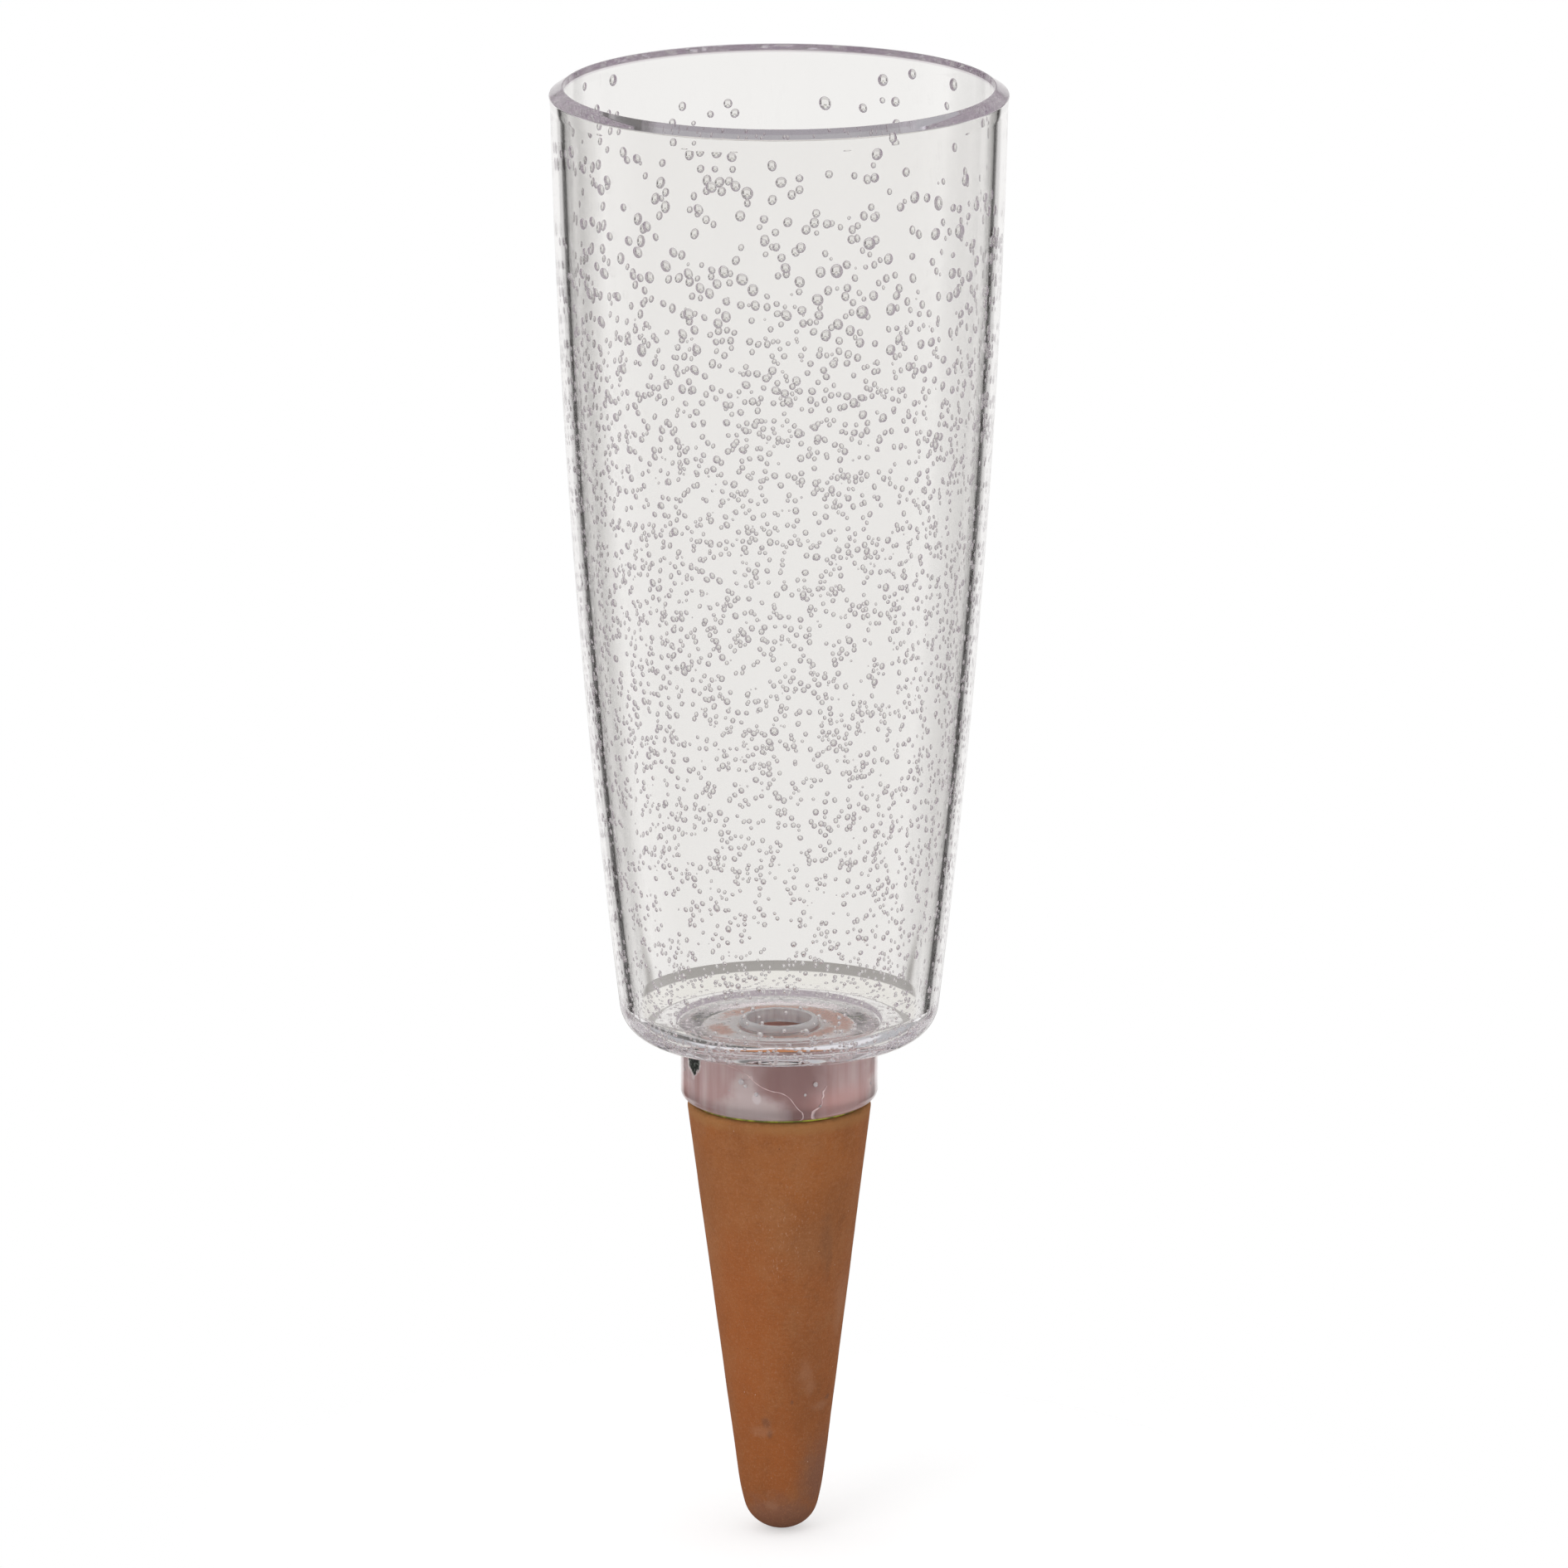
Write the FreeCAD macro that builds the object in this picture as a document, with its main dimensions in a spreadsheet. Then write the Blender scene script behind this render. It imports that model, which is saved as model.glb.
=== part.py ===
import FreeCAD, Part
import math
import os

import Sketcher

# Self watering spike: a clear cup of water bonded onto a hollow porous clay cone that is pushed into the soil.
# Millimetres. The origin is at the lowest point of the clay tip, and +Z runs up the axis through the cup.
# Every piece is round about that axis, so each is an outline turned once round it, then bored and rounded.

# The driving dimensions. Everything else is worked out from these.
SIZES = {
    # Clay cone
    "tip_radius": 6.9,              # round of the tip
    "tip_corner_diameter": 16.0,    # where the steeper tip runs into the long taper
    "tip_corner_height": 10.1,
    "shoulder_diameter": 34.9,      # top of the long taper, just under the collar
    "cone_length": 84.25,           # tip to shoulder
    "shoulder_round": 1.0,
    "shoulder_width": 3.95,         # step in from the shoulder's edge to the spigot that fills the collar
    "bore_mouth_diameter": 15.2,    # the clay is hollow: a tapered blind bore
    "bore_end_diameter": 8.0,
    "bore_end_round": 3.0,
    "tip_thickness": 12.0,          # clay left below the blind end
    # Bond between cone and cup
    "bond_thickness": 0.7,          # sleeve of adhesive round the spigot
    "roof_bond_thickness": 0.3,     # washer of adhesive on top of the spigot
    "roof_bond_inset": 0.3,         # how far the washer stays back from the clay bore
    "bond_clearance": 0.02,
    "seal_thickness": 0.4,          # line of sealant between collar and shoulder
    "seal_inset": 0.1,
    # Cup and its collar, one moulding
    "collar_wall": 4.3,
    "collar_height": 12.6,
    "collar_edge_round": 2.1,
    "collar_root_round": 0.8,
    "socket_roof_thickness": 1.5,   # floor left above the socket
    "recess_floor_thickness": 2.2,  # in the round recess in the middle of the floor
    "recess_depth": 1.05,
    "recess_radius": 19.2,
    "floor_round": 4.2,
    "foot_overhang": 10.7,          # from the collar out to where the wall would meet the underside
    "foot_round": 6.7,
    "cup_height": 181.05,           # underside to rim
    "wall_thickness": 2.5,
    "wall_curve_radius": 1715.0,    # the long gentle bow of the wall
    "rim_diameter": 85.0,           # over the lip's edge
    "lip_proud": 0.25,              # how far the lip's edge stands out from the wall
    "lip_height": 2.3,
    "bevel_drop": 1.55,             # the rim slopes down and outwards by this much
    "rim_land": 0.3,                # narrow flat left on the inner edge of the rim
    # Outlet ring, a bush in the hole of the floor
    "ring_bore_diameter": 12.2,
    "ring_wall": 0.8,
    "ring_flange_width": 1.4,
    "ring_flange_height": 1.2,
    "ring_outer_round": 0.9,
    "ring_inner_chamfer": 0.25,
    "ring_clearance": 0.05,
    # How far a cut runs past the surface that it starts or ends at
    "cut_overrun": 1.0,
}

FULL_TURN = 360
AXIS_TOLERANCE_SHARE = 1e-6

doc = FreeCAD.newDocument("self_watering_spike")
sheet = doc.addObject("Spreadsheet::Sheet", "Sizes")
for row, (alias, number) in enumerate(SIZES.items(), start=1):
    sheet.set(f"A{row}", alias)
    sheet.set(f"B{row}", str(number))
    sheet.setAlias(f"B{row}", alias)
doc.recompute()


def sized(words):
    """A formula in the sheet's names, such as 'collar_height + cup_height', as the document reads it."""
    return " ".join(f"Sizes.{word}" if word in SIZES else word for word in words.split())


def value(words):
    """The number that such a formula comes to, in millimetres."""
    result = sheet.evalExpression(sized(words))
    return float(getattr(result, "Value", result))


# Heights and radii that more than one piece shares
SHOULDER = "cone_length"
COLLAR_BOTTOM = "cone_length + seal_thickness"
UNDERSIDE = f"{COLLAR_BOTTOM} + collar_height"
RECESS_FLOOR = f"{UNDERSIDE} + recess_floor_thickness"
FLOOR_TOP = f"{RECESS_FLOOR} + recess_depth"
SOCKET_ROOF = f"{RECESS_FLOOR} - socket_roof_thickness"
SPIGOT_TOP = f"{SOCKET_ROOF} - roof_bond_thickness"
RIM_TOP = f"{UNDERSIDE} + cup_height"
LIP_EDGE = f"{RIM_TOP} - bevel_drop"
LIP_START = f"{LIP_EDGE} - lip_height"
RING_TOP = f"{RECESS_FLOOR} + ring_flange_height"
SPIGOT_RADIUS = "shoulder_diameter / 2 - shoulder_width"
SOCKET_RADIUS = f"{SPIGOT_RADIUS} + bond_thickness"
COLLAR_RADIUS = f"{SOCKET_RADIUS} + collar_wall"
FOOT_RADIUS = f"{COLLAR_RADIUS} + foot_overhang"
STEM_RADIUS = "ring_bore_diameter / 2 + ring_wall"
OUTLET_HOLE_RADIUS = f"{STEM_RADIUS} + ring_clearance"
AXIS = "0"


def new_body(label):
    body = doc.addObject("PartDesign::Body", label)
    body.Label = label
    return body


def origin_plane(body, role):
    return next(feature for feature in body.Origin.OriginFeatures if feature.Role == role)


def new_sketch(body, name, role, height=None):
    """A sketch on one of the body's own planes, lifted to a height where one is given."""
    sketch = body.newObject("Sketcher::SketchObject", name)
    sketch.AttachmentSupport = [(origin_plane(body, role), "")]
    sketch.MapMode = "FlatFace"
    if height:
        sketch.setExpression("AttachmentOffset.Base.z", sized(height))
    return sketch


def constrain(sketch, words, kind, *places):
    """Adds one dimension to a sketch and binds it to the sheet."""
    index = sketch.addConstraint(Sketcher.Constraint(kind, *places, value(words)))
    sketch.setExpression(f"Constraints[{index}]", sized(words))


def hold_point(sketch, edge, end, corner):
    """Holds one end of an edge at its radius from the axis and its height, each zero or a formula."""
    for words, kind, own_axis in zip(corner, ("DistanceX", "DistanceY"), (-2, -1)):
        if words == AXIS:
            sketch.addConstraint(Sketcher.Constraint("PointOnObject", edge, end, own_axis))
        elif words:
            constrain(sketch, words, kind, -1, 1, edge, end)


def point(corner):
    radius, height = corner
    return FreeCAD.Vector(value(radius), value(height), 0)


def join_ends(sketch, edges):
    """Joins each edge's end 2 to the end 1 of the edge that follows it."""
    for edge, following in zip(edges, edges[1:]):
        sketch.addConstraint(Sketcher.Constraint("Coincident", edge, 2, following, 1))


def polygon(sketch, corners):
    """A closed outline of straight edges through corners of (radius, height)."""
    points = [point(corner) for corner in corners]
    edges = [sketch.addGeometry(Part.LineSegment(here, there), False)
             for here, there in zip(points, points[1:] + points[:1])]
    join_ends(sketch, edges + edges[:1])
    for edge, corner in zip(edges, corners):
        hold_point(sketch, edge, 1, corner)


def turn(body, kind, name, sketch):
    """Turns an outline once round the axis, as solid (Revolution) or as a cut (Groove)."""
    feature = body.newObject(f"PartDesign::{kind}", name)
    feature.Profile = sketch
    feature.ReferenceAxis = (sketch, ["V_Axis"])
    feature.Angle = FULL_TURN
    sketch.Visibility = False
    doc.recompute()
    return feature


def round_disc(body, kind, name, radius, height, depth, upwards):
    """Pads or pockets a circle about the axis, from a height, up or down by a depth."""
    sketch = new_sketch(body, f"{name}_circle", "XY_Plane", height)
    circle = sketch.addGeometry(Part.Circle(FreeCAD.Vector(), FreeCAD.Vector(0, 0, 1), value(radius)), False)
    sketch.addConstraint(Sketcher.Constraint("Coincident", circle, 3, -1, 1))
    constrain(sketch, radius, "Radius", circle)
    feature = body.newObject(f"PartDesign::{kind}", name)
    feature.Profile = sketch
    feature.setExpression("Length", sized(depth))
    # A pad goes up from its sketch by itself and a pocket goes down.
    feature.Reversed = upwards != (kind == "Pad")
    doc.recompute()
    return feature


def ring_edges(shape, height):
    """The round edges about the axis at a height, from the smallest radius to the largest."""
    found = []
    for number, edge in enumerate(shape.Edges, start=1):
        # The point where a surface closes on the axis counts as an edge too, but has no curve.
        if edge.Degenerated or not isinstance(edge.Curve, Part.Circle):
            continue
        centre = edge.Curve.Center
        slack = AXIS_TOLERANCE_SHARE * shape.BoundBox.DiagonalLength
        if abs(centre.z - value(height)) < slack and math.hypot(centre.x, centre.y) < slack:
            found.append((edge.Curve.Radius, f"Edge{number}"))
    return [name for _, name in sorted(found)]


def dress(body, kind, name, height, which, amount):
    """Rounds or bevels one of the round edges at a height, counted from the axis outwards."""
    base = body.Tip
    feature = body.newObject(f"PartDesign::{kind}", name)
    feature.Base = (base, [ring_edges(base.Shape, height)[which]])
    feature.setExpression("Radius" if kind == "Fillet" else "Size", sized(amount))
    doc.recompute()
    return feature


def arc_centre(start, end, radius):
    """The centre, on the side of the axis, of an upright arc from start up to end."""
    chord = end - start
    middle = (start + end) * 0.5
    inwards = FreeCAD.Vector(-chord.y, chord.x, 0).normalize()
    return middle + inwards * math.sqrt(radius ** 2 - (chord.Length / 2) ** 2)


def upright_arc(sketch, centre, start, end):
    """An arc drawn counter-clockwise from start up to end."""
    turned = [math.atan2(place.y - centre.y, place.x - centre.x) for place in (start, end)]
    circle = Part.Circle(centre, FreeCAD.Vector(0, 0, 1), (start - centre).Length)
    return sketch.addGeometry(Part.ArcOfCircle(circle, *turned), False)


def cup_section(body):
    """The cup's wall and floor as one section: its inner and outer curves share one far-off centre."""
    foot = (FOOT_RADIUS, UNDERSIDE)
    lip_start = ("rim_diameter / 2 - lip_proud", LIP_START)
    lip_edge = ("rim_diameter / 2", LIP_EDGE)
    centre = arc_centre(point(foot), point(lip_start), value("wall_curve_radius"))
    inner_radius = value("wall_curve_radius - wall_thickness")

    def on_inner_curve(height):
        across = math.sqrt(inner_radius ** 2 - (value(height) - centre.y) ** 2)
        return FreeCAD.Vector(centre.x + across, value(height), 0)

    inner_foot = on_inner_curve(FLOOR_TOP)
    inner_rim = on_inner_curve(RIM_TOP)
    land_edge = inner_rim + FreeCAD.Vector(value("rim_land"), 0, 0)
    sketch = new_sketch(body, "wall_section", "XZ_Plane")

    def line(start, end):
        return sketch.addGeometry(Part.LineSegment(start, end), False)

    on_axis_low = FreeCAD.Vector(0, value(UNDERSIDE), 0)
    on_axis_high = FreeCAD.Vector(0, value(FLOOR_TOP), 0)
    underside = line(on_axis_low, point(foot))
    outer_curve = upright_arc(sketch, centre, point(foot), point(lip_start))
    lip = line(point(lip_start), point(lip_edge))
    bevel = line(point(lip_edge), land_edge)
    land = line(land_edge, inner_rim)
    inner_curve = upright_arc(sketch, centre, inner_foot, inner_rim)
    floor = line(inner_foot, on_axis_high)
    axis = line(on_axis_high, on_axis_low)
    # An arc is always drawn upwards, so the outline runs down the inner curve from its end 2 to its end 1.
    for edge, end, following, start in (
            (underside, 2, outer_curve, 1), (outer_curve, 2, lip, 1), (lip, 2, bevel, 1),
            (bevel, 2, land, 1), (land, 2, inner_curve, 2), (inner_curve, 1, floor, 1),
            (floor, 2, axis, 1), (axis, 2, underside, 1)):
        sketch.addConstraint(Sketcher.Constraint("Coincident", edge, end, following, start))
    hold_point(sketch, underside, 1, (AXIS, UNDERSIDE))
    hold_point(sketch, outer_curve, 1, foot)
    hold_point(sketch, outer_curve, 2, lip_start)
    hold_point(sketch, lip, 2, lip_edge)
    hold_point(sketch, land, 1, (None, RIM_TOP))
    sketch.addConstraint(Sketcher.Constraint("Horizontal", land))
    constrain(sketch, "rim_land", "DistanceX", land, 2, land, 1)
    hold_point(sketch, floor, 1, (None, FLOOR_TOP))
    hold_point(sketch, floor, 2, (AXIS, FLOOR_TOP))
    constrain(sketch, "wall_curve_radius", "Radius", outer_curve)
    constrain(sketch, "wall_curve_radius - wall_thickness", "Radius", inner_curve)
    sketch.addConstraint(Sketcher.Constraint("Coincident", outer_curve, 3, inner_curve, 3))
    return sketch


def reservoir_cup():
    """The clear cup: a thin bowed wall, a bevelled rim, a rounded foot, a recessed floor and the socket collar."""
    body = new_body("reservoir_cup")
    turn(body, "Revolution", "cup_wall", cup_section(body))
    round_disc(body, "Pad", "socket_collar", COLLAR_RADIUS, UNDERSIDE, "collar_height", upwards=False)
    round_disc(body, "Pocket", "socket", SOCKET_RADIUS, COLLAR_BOTTOM,
               "collar_height + recess_floor_thickness - socket_roof_thickness", upwards=True)
    round_disc(body, "Pocket", "floor_recess", "recess_radius", FLOOR_TOP, "recess_depth", upwards=False)
    round_disc(body, "Pocket", "outlet_hole", OUTLET_HOLE_RADIUS, RECESS_FLOOR,
               "socket_roof_thickness + cut_overrun", upwards=False)
    dress(body, "Fillet", "foot_rounding", UNDERSIDE, -1, "foot_round")
    dress(body, "Fillet", "floor_rounding", FLOOR_TOP, -1, "floor_round")
    dress(body, "Fillet", "collar_root_rounding", UNDERSIDE, 0, "collar_root_round")
    dress(body, "Fillet", "collar_edge_rounding", COLLAR_BOTTOM, -1, "collar_edge_round")
    return body


def outlet_ring():
    """The milky bush in the floor's hole: a low rounded flange in the recess and a thin stem through it."""
    body = new_body("outlet_ring")
    bore = "ring_bore_diameter / 2"
    flange = f"{bore} + ring_flange_width"
    sketch = new_sketch(body, "ring_section", "XZ_Plane")
    polygon(sketch, [(bore, SOCKET_ROOF), (STEM_RADIUS, SOCKET_ROOF), (STEM_RADIUS, RECESS_FLOOR),
                     (flange, RECESS_FLOOR), (flange, RING_TOP), (bore, RING_TOP)])
    turn(body, "Revolution", "bush", sketch)
    dress(body, "Fillet", "outer_rounding", RING_TOP, -1, "ring_outer_round")
    dress(body, "Chamfer", "inner_bevel", RING_TOP, 0, "ring_inner_chamfer")
    return body


def tip_tangent(corner, radius):
    """Where a line down from the corner touches the ball of the tip, which stands on the origin."""
    centre = FreeCAD.Vector(0, radius, 0)
    reach = corner - centre
    slope = math.atan2(reach.y, reach.x) - math.acos(radius / reach.Length)
    return centre + FreeCAD.Vector(math.cos(slope), math.sin(slope), 0) * radius


def clay_cone():
    """The porous cone: ball tip, short steeper run, long taper, flat shoulder, spigot and blind bore."""
    body = new_body("clay_cone")
    tip_corner = ("tip_corner_diameter / 2", "tip_corner_height")
    corners = [tip_corner, ("shoulder_diameter / 2", SHOULDER), (SPIGOT_RADIUS, SHOULDER),
               (SPIGOT_RADIUS, SPIGOT_TOP), (AXIS, SPIGOT_TOP)]
    touch = tip_tangent(point(tip_corner), value("tip_radius"))
    centre = FreeCAD.Vector(0, value("tip_radius"), 0)
    sketch = new_sketch(body, "cone_section", "XZ_Plane")
    ball = upright_arc(sketch, centre, FreeCAD.Vector(), touch)
    places = [touch] + [point(corner) for corner in corners] + [FreeCAD.Vector()]
    runs = [sketch.addGeometry(Part.LineSegment(here, there), False)
            for here, there in zip(places, places[1:])]
    join_ends(sketch, runs + [ball])
    sketch.addConstraint(Sketcher.Constraint("Tangent", ball, 2, runs[0], 1))
    hold_point(sketch, ball, 1, (AXIS, AXIS))
    sketch.addConstraint(Sketcher.Constraint("PointOnObject", ball, 3, -2))
    constrain(sketch, "tip_radius", "Radius", ball)
    for run, corner in zip(runs[1:], corners):
        hold_point(sketch, run, 1, corner)
    turn(body, "Revolution", "clay", sketch)

    bore = new_sketch(body, "bore_section", "XZ_Plane")
    polygon(bore, [(AXIS, "tip_thickness"), ("bore_end_diameter / 2", "tip_thickness"),
                   ("bore_mouth_diameter / 2", SPIGOT_TOP),
                   ("bore_mouth_diameter / 2", f"{SPIGOT_TOP} + cut_overrun"),
                   (AXIS, f"{SPIGOT_TOP} + cut_overrun")])
    turn(body, "Groove", "blind_bore", bore)
    dress(body, "Fillet", "bore_end_rounding", "tip_thickness", -1, "bore_end_round")
    dress(body, "Fillet", "shoulder_rounding", SHOULDER, -1, "shoulder_round")
    return body


def socket_bond():
    """The cured adhesive: a sleeve round the spigot and a thin washer on top of it."""
    body = new_body("socket_bond")
    inside = f"{SPIGOT_RADIUS} + bond_clearance"
    outside = f"{SOCKET_RADIUS} - bond_clearance"
    opening = "bore_mouth_diameter / 2 + roof_bond_inset"
    sketch = new_sketch(body, "bond_section", "XZ_Plane")
    polygon(sketch, [(inside, COLLAR_BOTTOM), (outside, COLLAR_BOTTOM), (outside, SOCKET_ROOF),
                     (opening, SOCKET_ROOF), (opening, SPIGOT_TOP), (inside, SPIGOT_TOP)])
    turn(body, "Revolution", "adhesive", sketch)
    return body


def shoulder_seal():
    """The thin line of sealant between the collar's lower face and the clay shoulder."""
    body = new_body("shoulder_seal")
    inside = f"{SPIGOT_RADIUS} + bond_clearance"
    outside = f"{COLLAR_RADIUS} - collar_edge_round - seal_inset"
    sketch = new_sketch(body, "seal_section", "XZ_Plane")
    polygon(sketch, [(inside, SHOULDER), (outside, SHOULDER),
                     (outside, COLLAR_BOTTOM), (inside, COLLAR_BOTTOM)])
    turn(body, "Revolution", "sealant", sketch)
    return body


pieces = [reservoir_cup(), outlet_ring(), socket_bond(), shoulder_seal(), clay_cone()]
doc.recompute()

for item in doc.Objects:
    if "Invalid" in item.State or "Error" in item.State:
        raise RuntimeError(f"{item.Name} did not build: {item.State}")
for piece in pieces:
    if piece.Shape.isNull() or not piece.Shape.isValid() or len(piece.Shape.Solids) != 1:
        raise RuntimeError(f"{piece.Label} is not one sound solid")

os.makedirs("parts", exist_ok=True)
for piece in pieces:
    piece.Shape.exportStep(f"parts/{piece.Label}.step")
    box = piece.Shape.optimalBoundingBox()
    print(f"{piece.Label}: volume {piece.Shape.Volume:.1f} mm3, height {box.ZMin:.3f} to {box.ZMax:.3f}, "
          f"radius {box.XMax:.3f}, faces {len(piece.Shape.Faces)}")
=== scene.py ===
import bisect
import itertools
import math
import random

import bpy
from mathutils import Matrix, Vector, noise


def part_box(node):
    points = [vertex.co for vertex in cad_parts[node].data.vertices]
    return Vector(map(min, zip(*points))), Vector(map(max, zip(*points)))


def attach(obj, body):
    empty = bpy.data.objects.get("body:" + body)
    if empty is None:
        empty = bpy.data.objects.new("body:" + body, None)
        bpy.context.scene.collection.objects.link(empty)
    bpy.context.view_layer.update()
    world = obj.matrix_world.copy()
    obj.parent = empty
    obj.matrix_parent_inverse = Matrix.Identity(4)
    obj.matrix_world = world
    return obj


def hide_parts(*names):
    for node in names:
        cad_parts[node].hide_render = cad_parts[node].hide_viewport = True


# Self watering spike: the looks of a clear bubbled cup bonded onto a hollow porous clay cone.
# Metres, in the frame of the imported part: the lowest point of the clay tip is the origin, and +Z runs up the axis.

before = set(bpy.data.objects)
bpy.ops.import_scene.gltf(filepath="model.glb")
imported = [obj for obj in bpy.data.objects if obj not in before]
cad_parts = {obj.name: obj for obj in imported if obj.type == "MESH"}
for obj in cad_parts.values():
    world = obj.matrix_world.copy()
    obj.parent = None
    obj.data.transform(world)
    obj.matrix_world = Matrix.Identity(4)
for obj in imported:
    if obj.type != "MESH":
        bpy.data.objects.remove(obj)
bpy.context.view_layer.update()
MM = 0.001

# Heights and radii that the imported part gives
CUP_LOW, CUP_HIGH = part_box("reservoir_cup")
RING_LOW, RING_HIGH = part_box("outlet_ring")
WETTED = 0.02 * MM          # how far the adhesive reaches into the socket, so that no air is left between them
COLLAR_BOTTOM = CUP_LOW.z
RIM_TOP = CUP_HIGH.z
RIM_RADIUS = CUP_HIGH.x
SOCKET_ROOF = RING_LOW.z
SOCKET_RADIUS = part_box("socket_bond")[1].x + WETTED
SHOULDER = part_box("shoulder_seal")[0].z
SPIGOT_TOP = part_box("clay_cone")[1].z

# Cup and collar
COLLAR_RADIUS = SOCKET_RADIUS + 4.3 * MM
COLLAR_HEIGHT = 12.6 * MM
COLLAR_EDGE_ROUND = 2.1 * MM
COLLAR_ROOT_ROUND = 0.8 * MM
UNDERSIDE = COLLAR_BOTTOM + COLLAR_HEIGHT
RECESS_FLOOR = SOCKET_ROOF + 1.5 * MM
RECESS_RADIUS = 19.2 * MM
RECESS_ROUND = 0.5 * MM
FLOOR_TOP = RECESS_FLOOR + 1.05 * MM
FLOOR_ROUND = 4.2 * MM
FOOT_RADIUS = COLLAR_RADIUS + 10.7 * MM
FOOT_ROUND = 6.7 * MM
WALL = 2.5 * MM
WALL_CURVE_RADIUS = 1715 * MM
LIP_PROUD = 0.25 * MM
LIP_HEIGHT = 2.3 * MM
LIP_FLARE_ROUND = 8 * MM
LIP_ROUND = 0.35 * MM
BEVEL_DROP = 1.55 * MM
RIM_LAND = 0.3 * MM
OUTLET_HOLE_RADIUS = 6.95 * MM
SOCKET_ROUND = 0.25 * MM
CRISP_ROUND = 0.09 * MM     # the edges of a moulding are never quite sharp
LIP_EDGE = RIM_TOP - BEVEL_DROP
LIP_START = LIP_EDGE - LIP_HEIGHT

# Clay cone
TIP_RADIUS = 6.9 * MM
TIP_CORNER = Vector((8.0, 10.1)) * MM
TIP_CORNER_ROUND = 7 * MM
SHOULDER_RADIUS = 17.45 * MM
SHOULDER_ROUND = 1.0 * MM
SPIGOT_RADIUS = SHOULDER_RADIUS - 3.95 * MM
SPIGOT_ROUND = 0.3 * MM
BORE_MOUTH_RADIUS = 7.6 * MM
BORE_END_RADIUS = 4.0 * MM
BORE_END_ROUND = 3.0 * MM
TIP_THICKNESS = 12.0 * MM

# Outlet ring
RING_BORE_RADIUS = 6.1 * MM
RING_WALL = 0.8 * MM
RING_OUTER_ROUND = 0.9 * MM
RING_INNER_ROUND = 0.3 * MM
RING_SEAT = RECESS_FLOOR + 0.01 * MM

# How finely the pieces are turned
CUP_SEGMENTS = 288
CLAY_SEGMENTS = 256
RING_SEGMENTS = 160
ROUND_STEP = math.radians(6)
SMALL_ROUND = 0.5 * MM
SMALL_ROUND_STEP = math.radians(23)
BOW_STEPS = 22
FULL_TURN = math.tau
SAME_PLACE = 1e-7


def arc_centre(start, end, radius):
    """The centre, on the side of the axis, of an upright arc from start up to end."""
    chord = end - start
    inwards = Vector((-chord.y, chord.x)).normalized()
    return (start + end) / 2 + inwards * math.sqrt(radius ** 2 - chord.length_squared / 4)


def on_bow(centre, radius, height):
    """The place (radius from the axis, height) where an upright arc passes a height."""
    return Vector((centre.x + math.sqrt(radius ** 2 - (height - centre.y) ** 2), height))


def bow(centre, radius, start, end):
    """Corners along an upright arc from one height to another, without its ends."""
    heights = [start + (end - start) * step / BOW_STEPS for step in range(1, BOW_STEPS)]
    return [(*on_bow(centre, radius, height), 0) for height in heights]


def right_of(heading):
    """The unit vector to the right of a heading, given in radians."""
    return Vector((math.sin(heading), -math.cos(heading)))


def rounded(corners, closed=True):
    """Turns corners of (radius, height, round) into outline points, each a place with its outward normal.

    The outline keeps the solid on its left, so the normal lies to the right of the way it runs."""
    places = [Vector(corner[:2]) for corner in corners]
    count = len(corners)
    points = []
    for index, (_, _, edge_round) in enumerate(corners):
        here = places[index]
        way_in = here - places[index - 1]
        way_out = places[(index + 1) % count] - here
        if not closed and index == 0:
            way_in = way_out
        if not closed and index == count - 1:
            way_out = way_in
        heading = math.atan2(way_in.y, way_in.x)
        turning = math.remainder(math.atan2(way_out.y, way_out.x) - heading, FULL_TURN)
        if not edge_round:
            points.append((here, right_of(heading + turning / 2)))
            continue
        side = math.copysign(edge_round, turning)
        start = here - way_in.normalized() * edge_round * math.tan(abs(turning) / 2)
        centre = start - right_of(heading) * side
        stride = SMALL_ROUND_STEP if edge_round < SMALL_ROUND else ROUND_STEP
        steps = max(2, math.ceil(abs(turning) / stride))
        for step in range(steps + 1):
            out = right_of(heading + turning * step / steps)
            points.append((centre + out * side, out))
    kept = points[:1]
    kept += [here for before, here in zip(points, points[1:]) if (here[0] - before[0]).length > SAME_PLACE]
    return kept


def divided(points, longest):
    """Adds outline points so that no step between two of them is longer than a length."""
    fuller = points[:1]
    for (before, normal_before), (here, normal) in zip(points, points[1:]):
        steps = math.ceil((here - before).length / longest)
        fuller += [(before.lerp(here, step / steps), normal_before.slerp(normal, step / steps, normal))
                   for step in range(1, steps)]
        fuller.append((here, normal))
    return fuller


def swung(out, place):
    """A place or a normal of an outline, swung round the axis until it lies the given way out."""
    return Vector((out.x * place.x, out.y * place.x, place.y))


def placed_object(name, data):
    made = bpy.data.objects.new(name, data)
    bpy.context.scene.collection.objects.link(made)
    return made


def new_object(name, vertices, faces):
    mesh = bpy.data.meshes.new(name)
    mesh.from_pydata(vertices, [], faces)
    mesh.shade_smooth()
    return placed_object(name, mesh)


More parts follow.
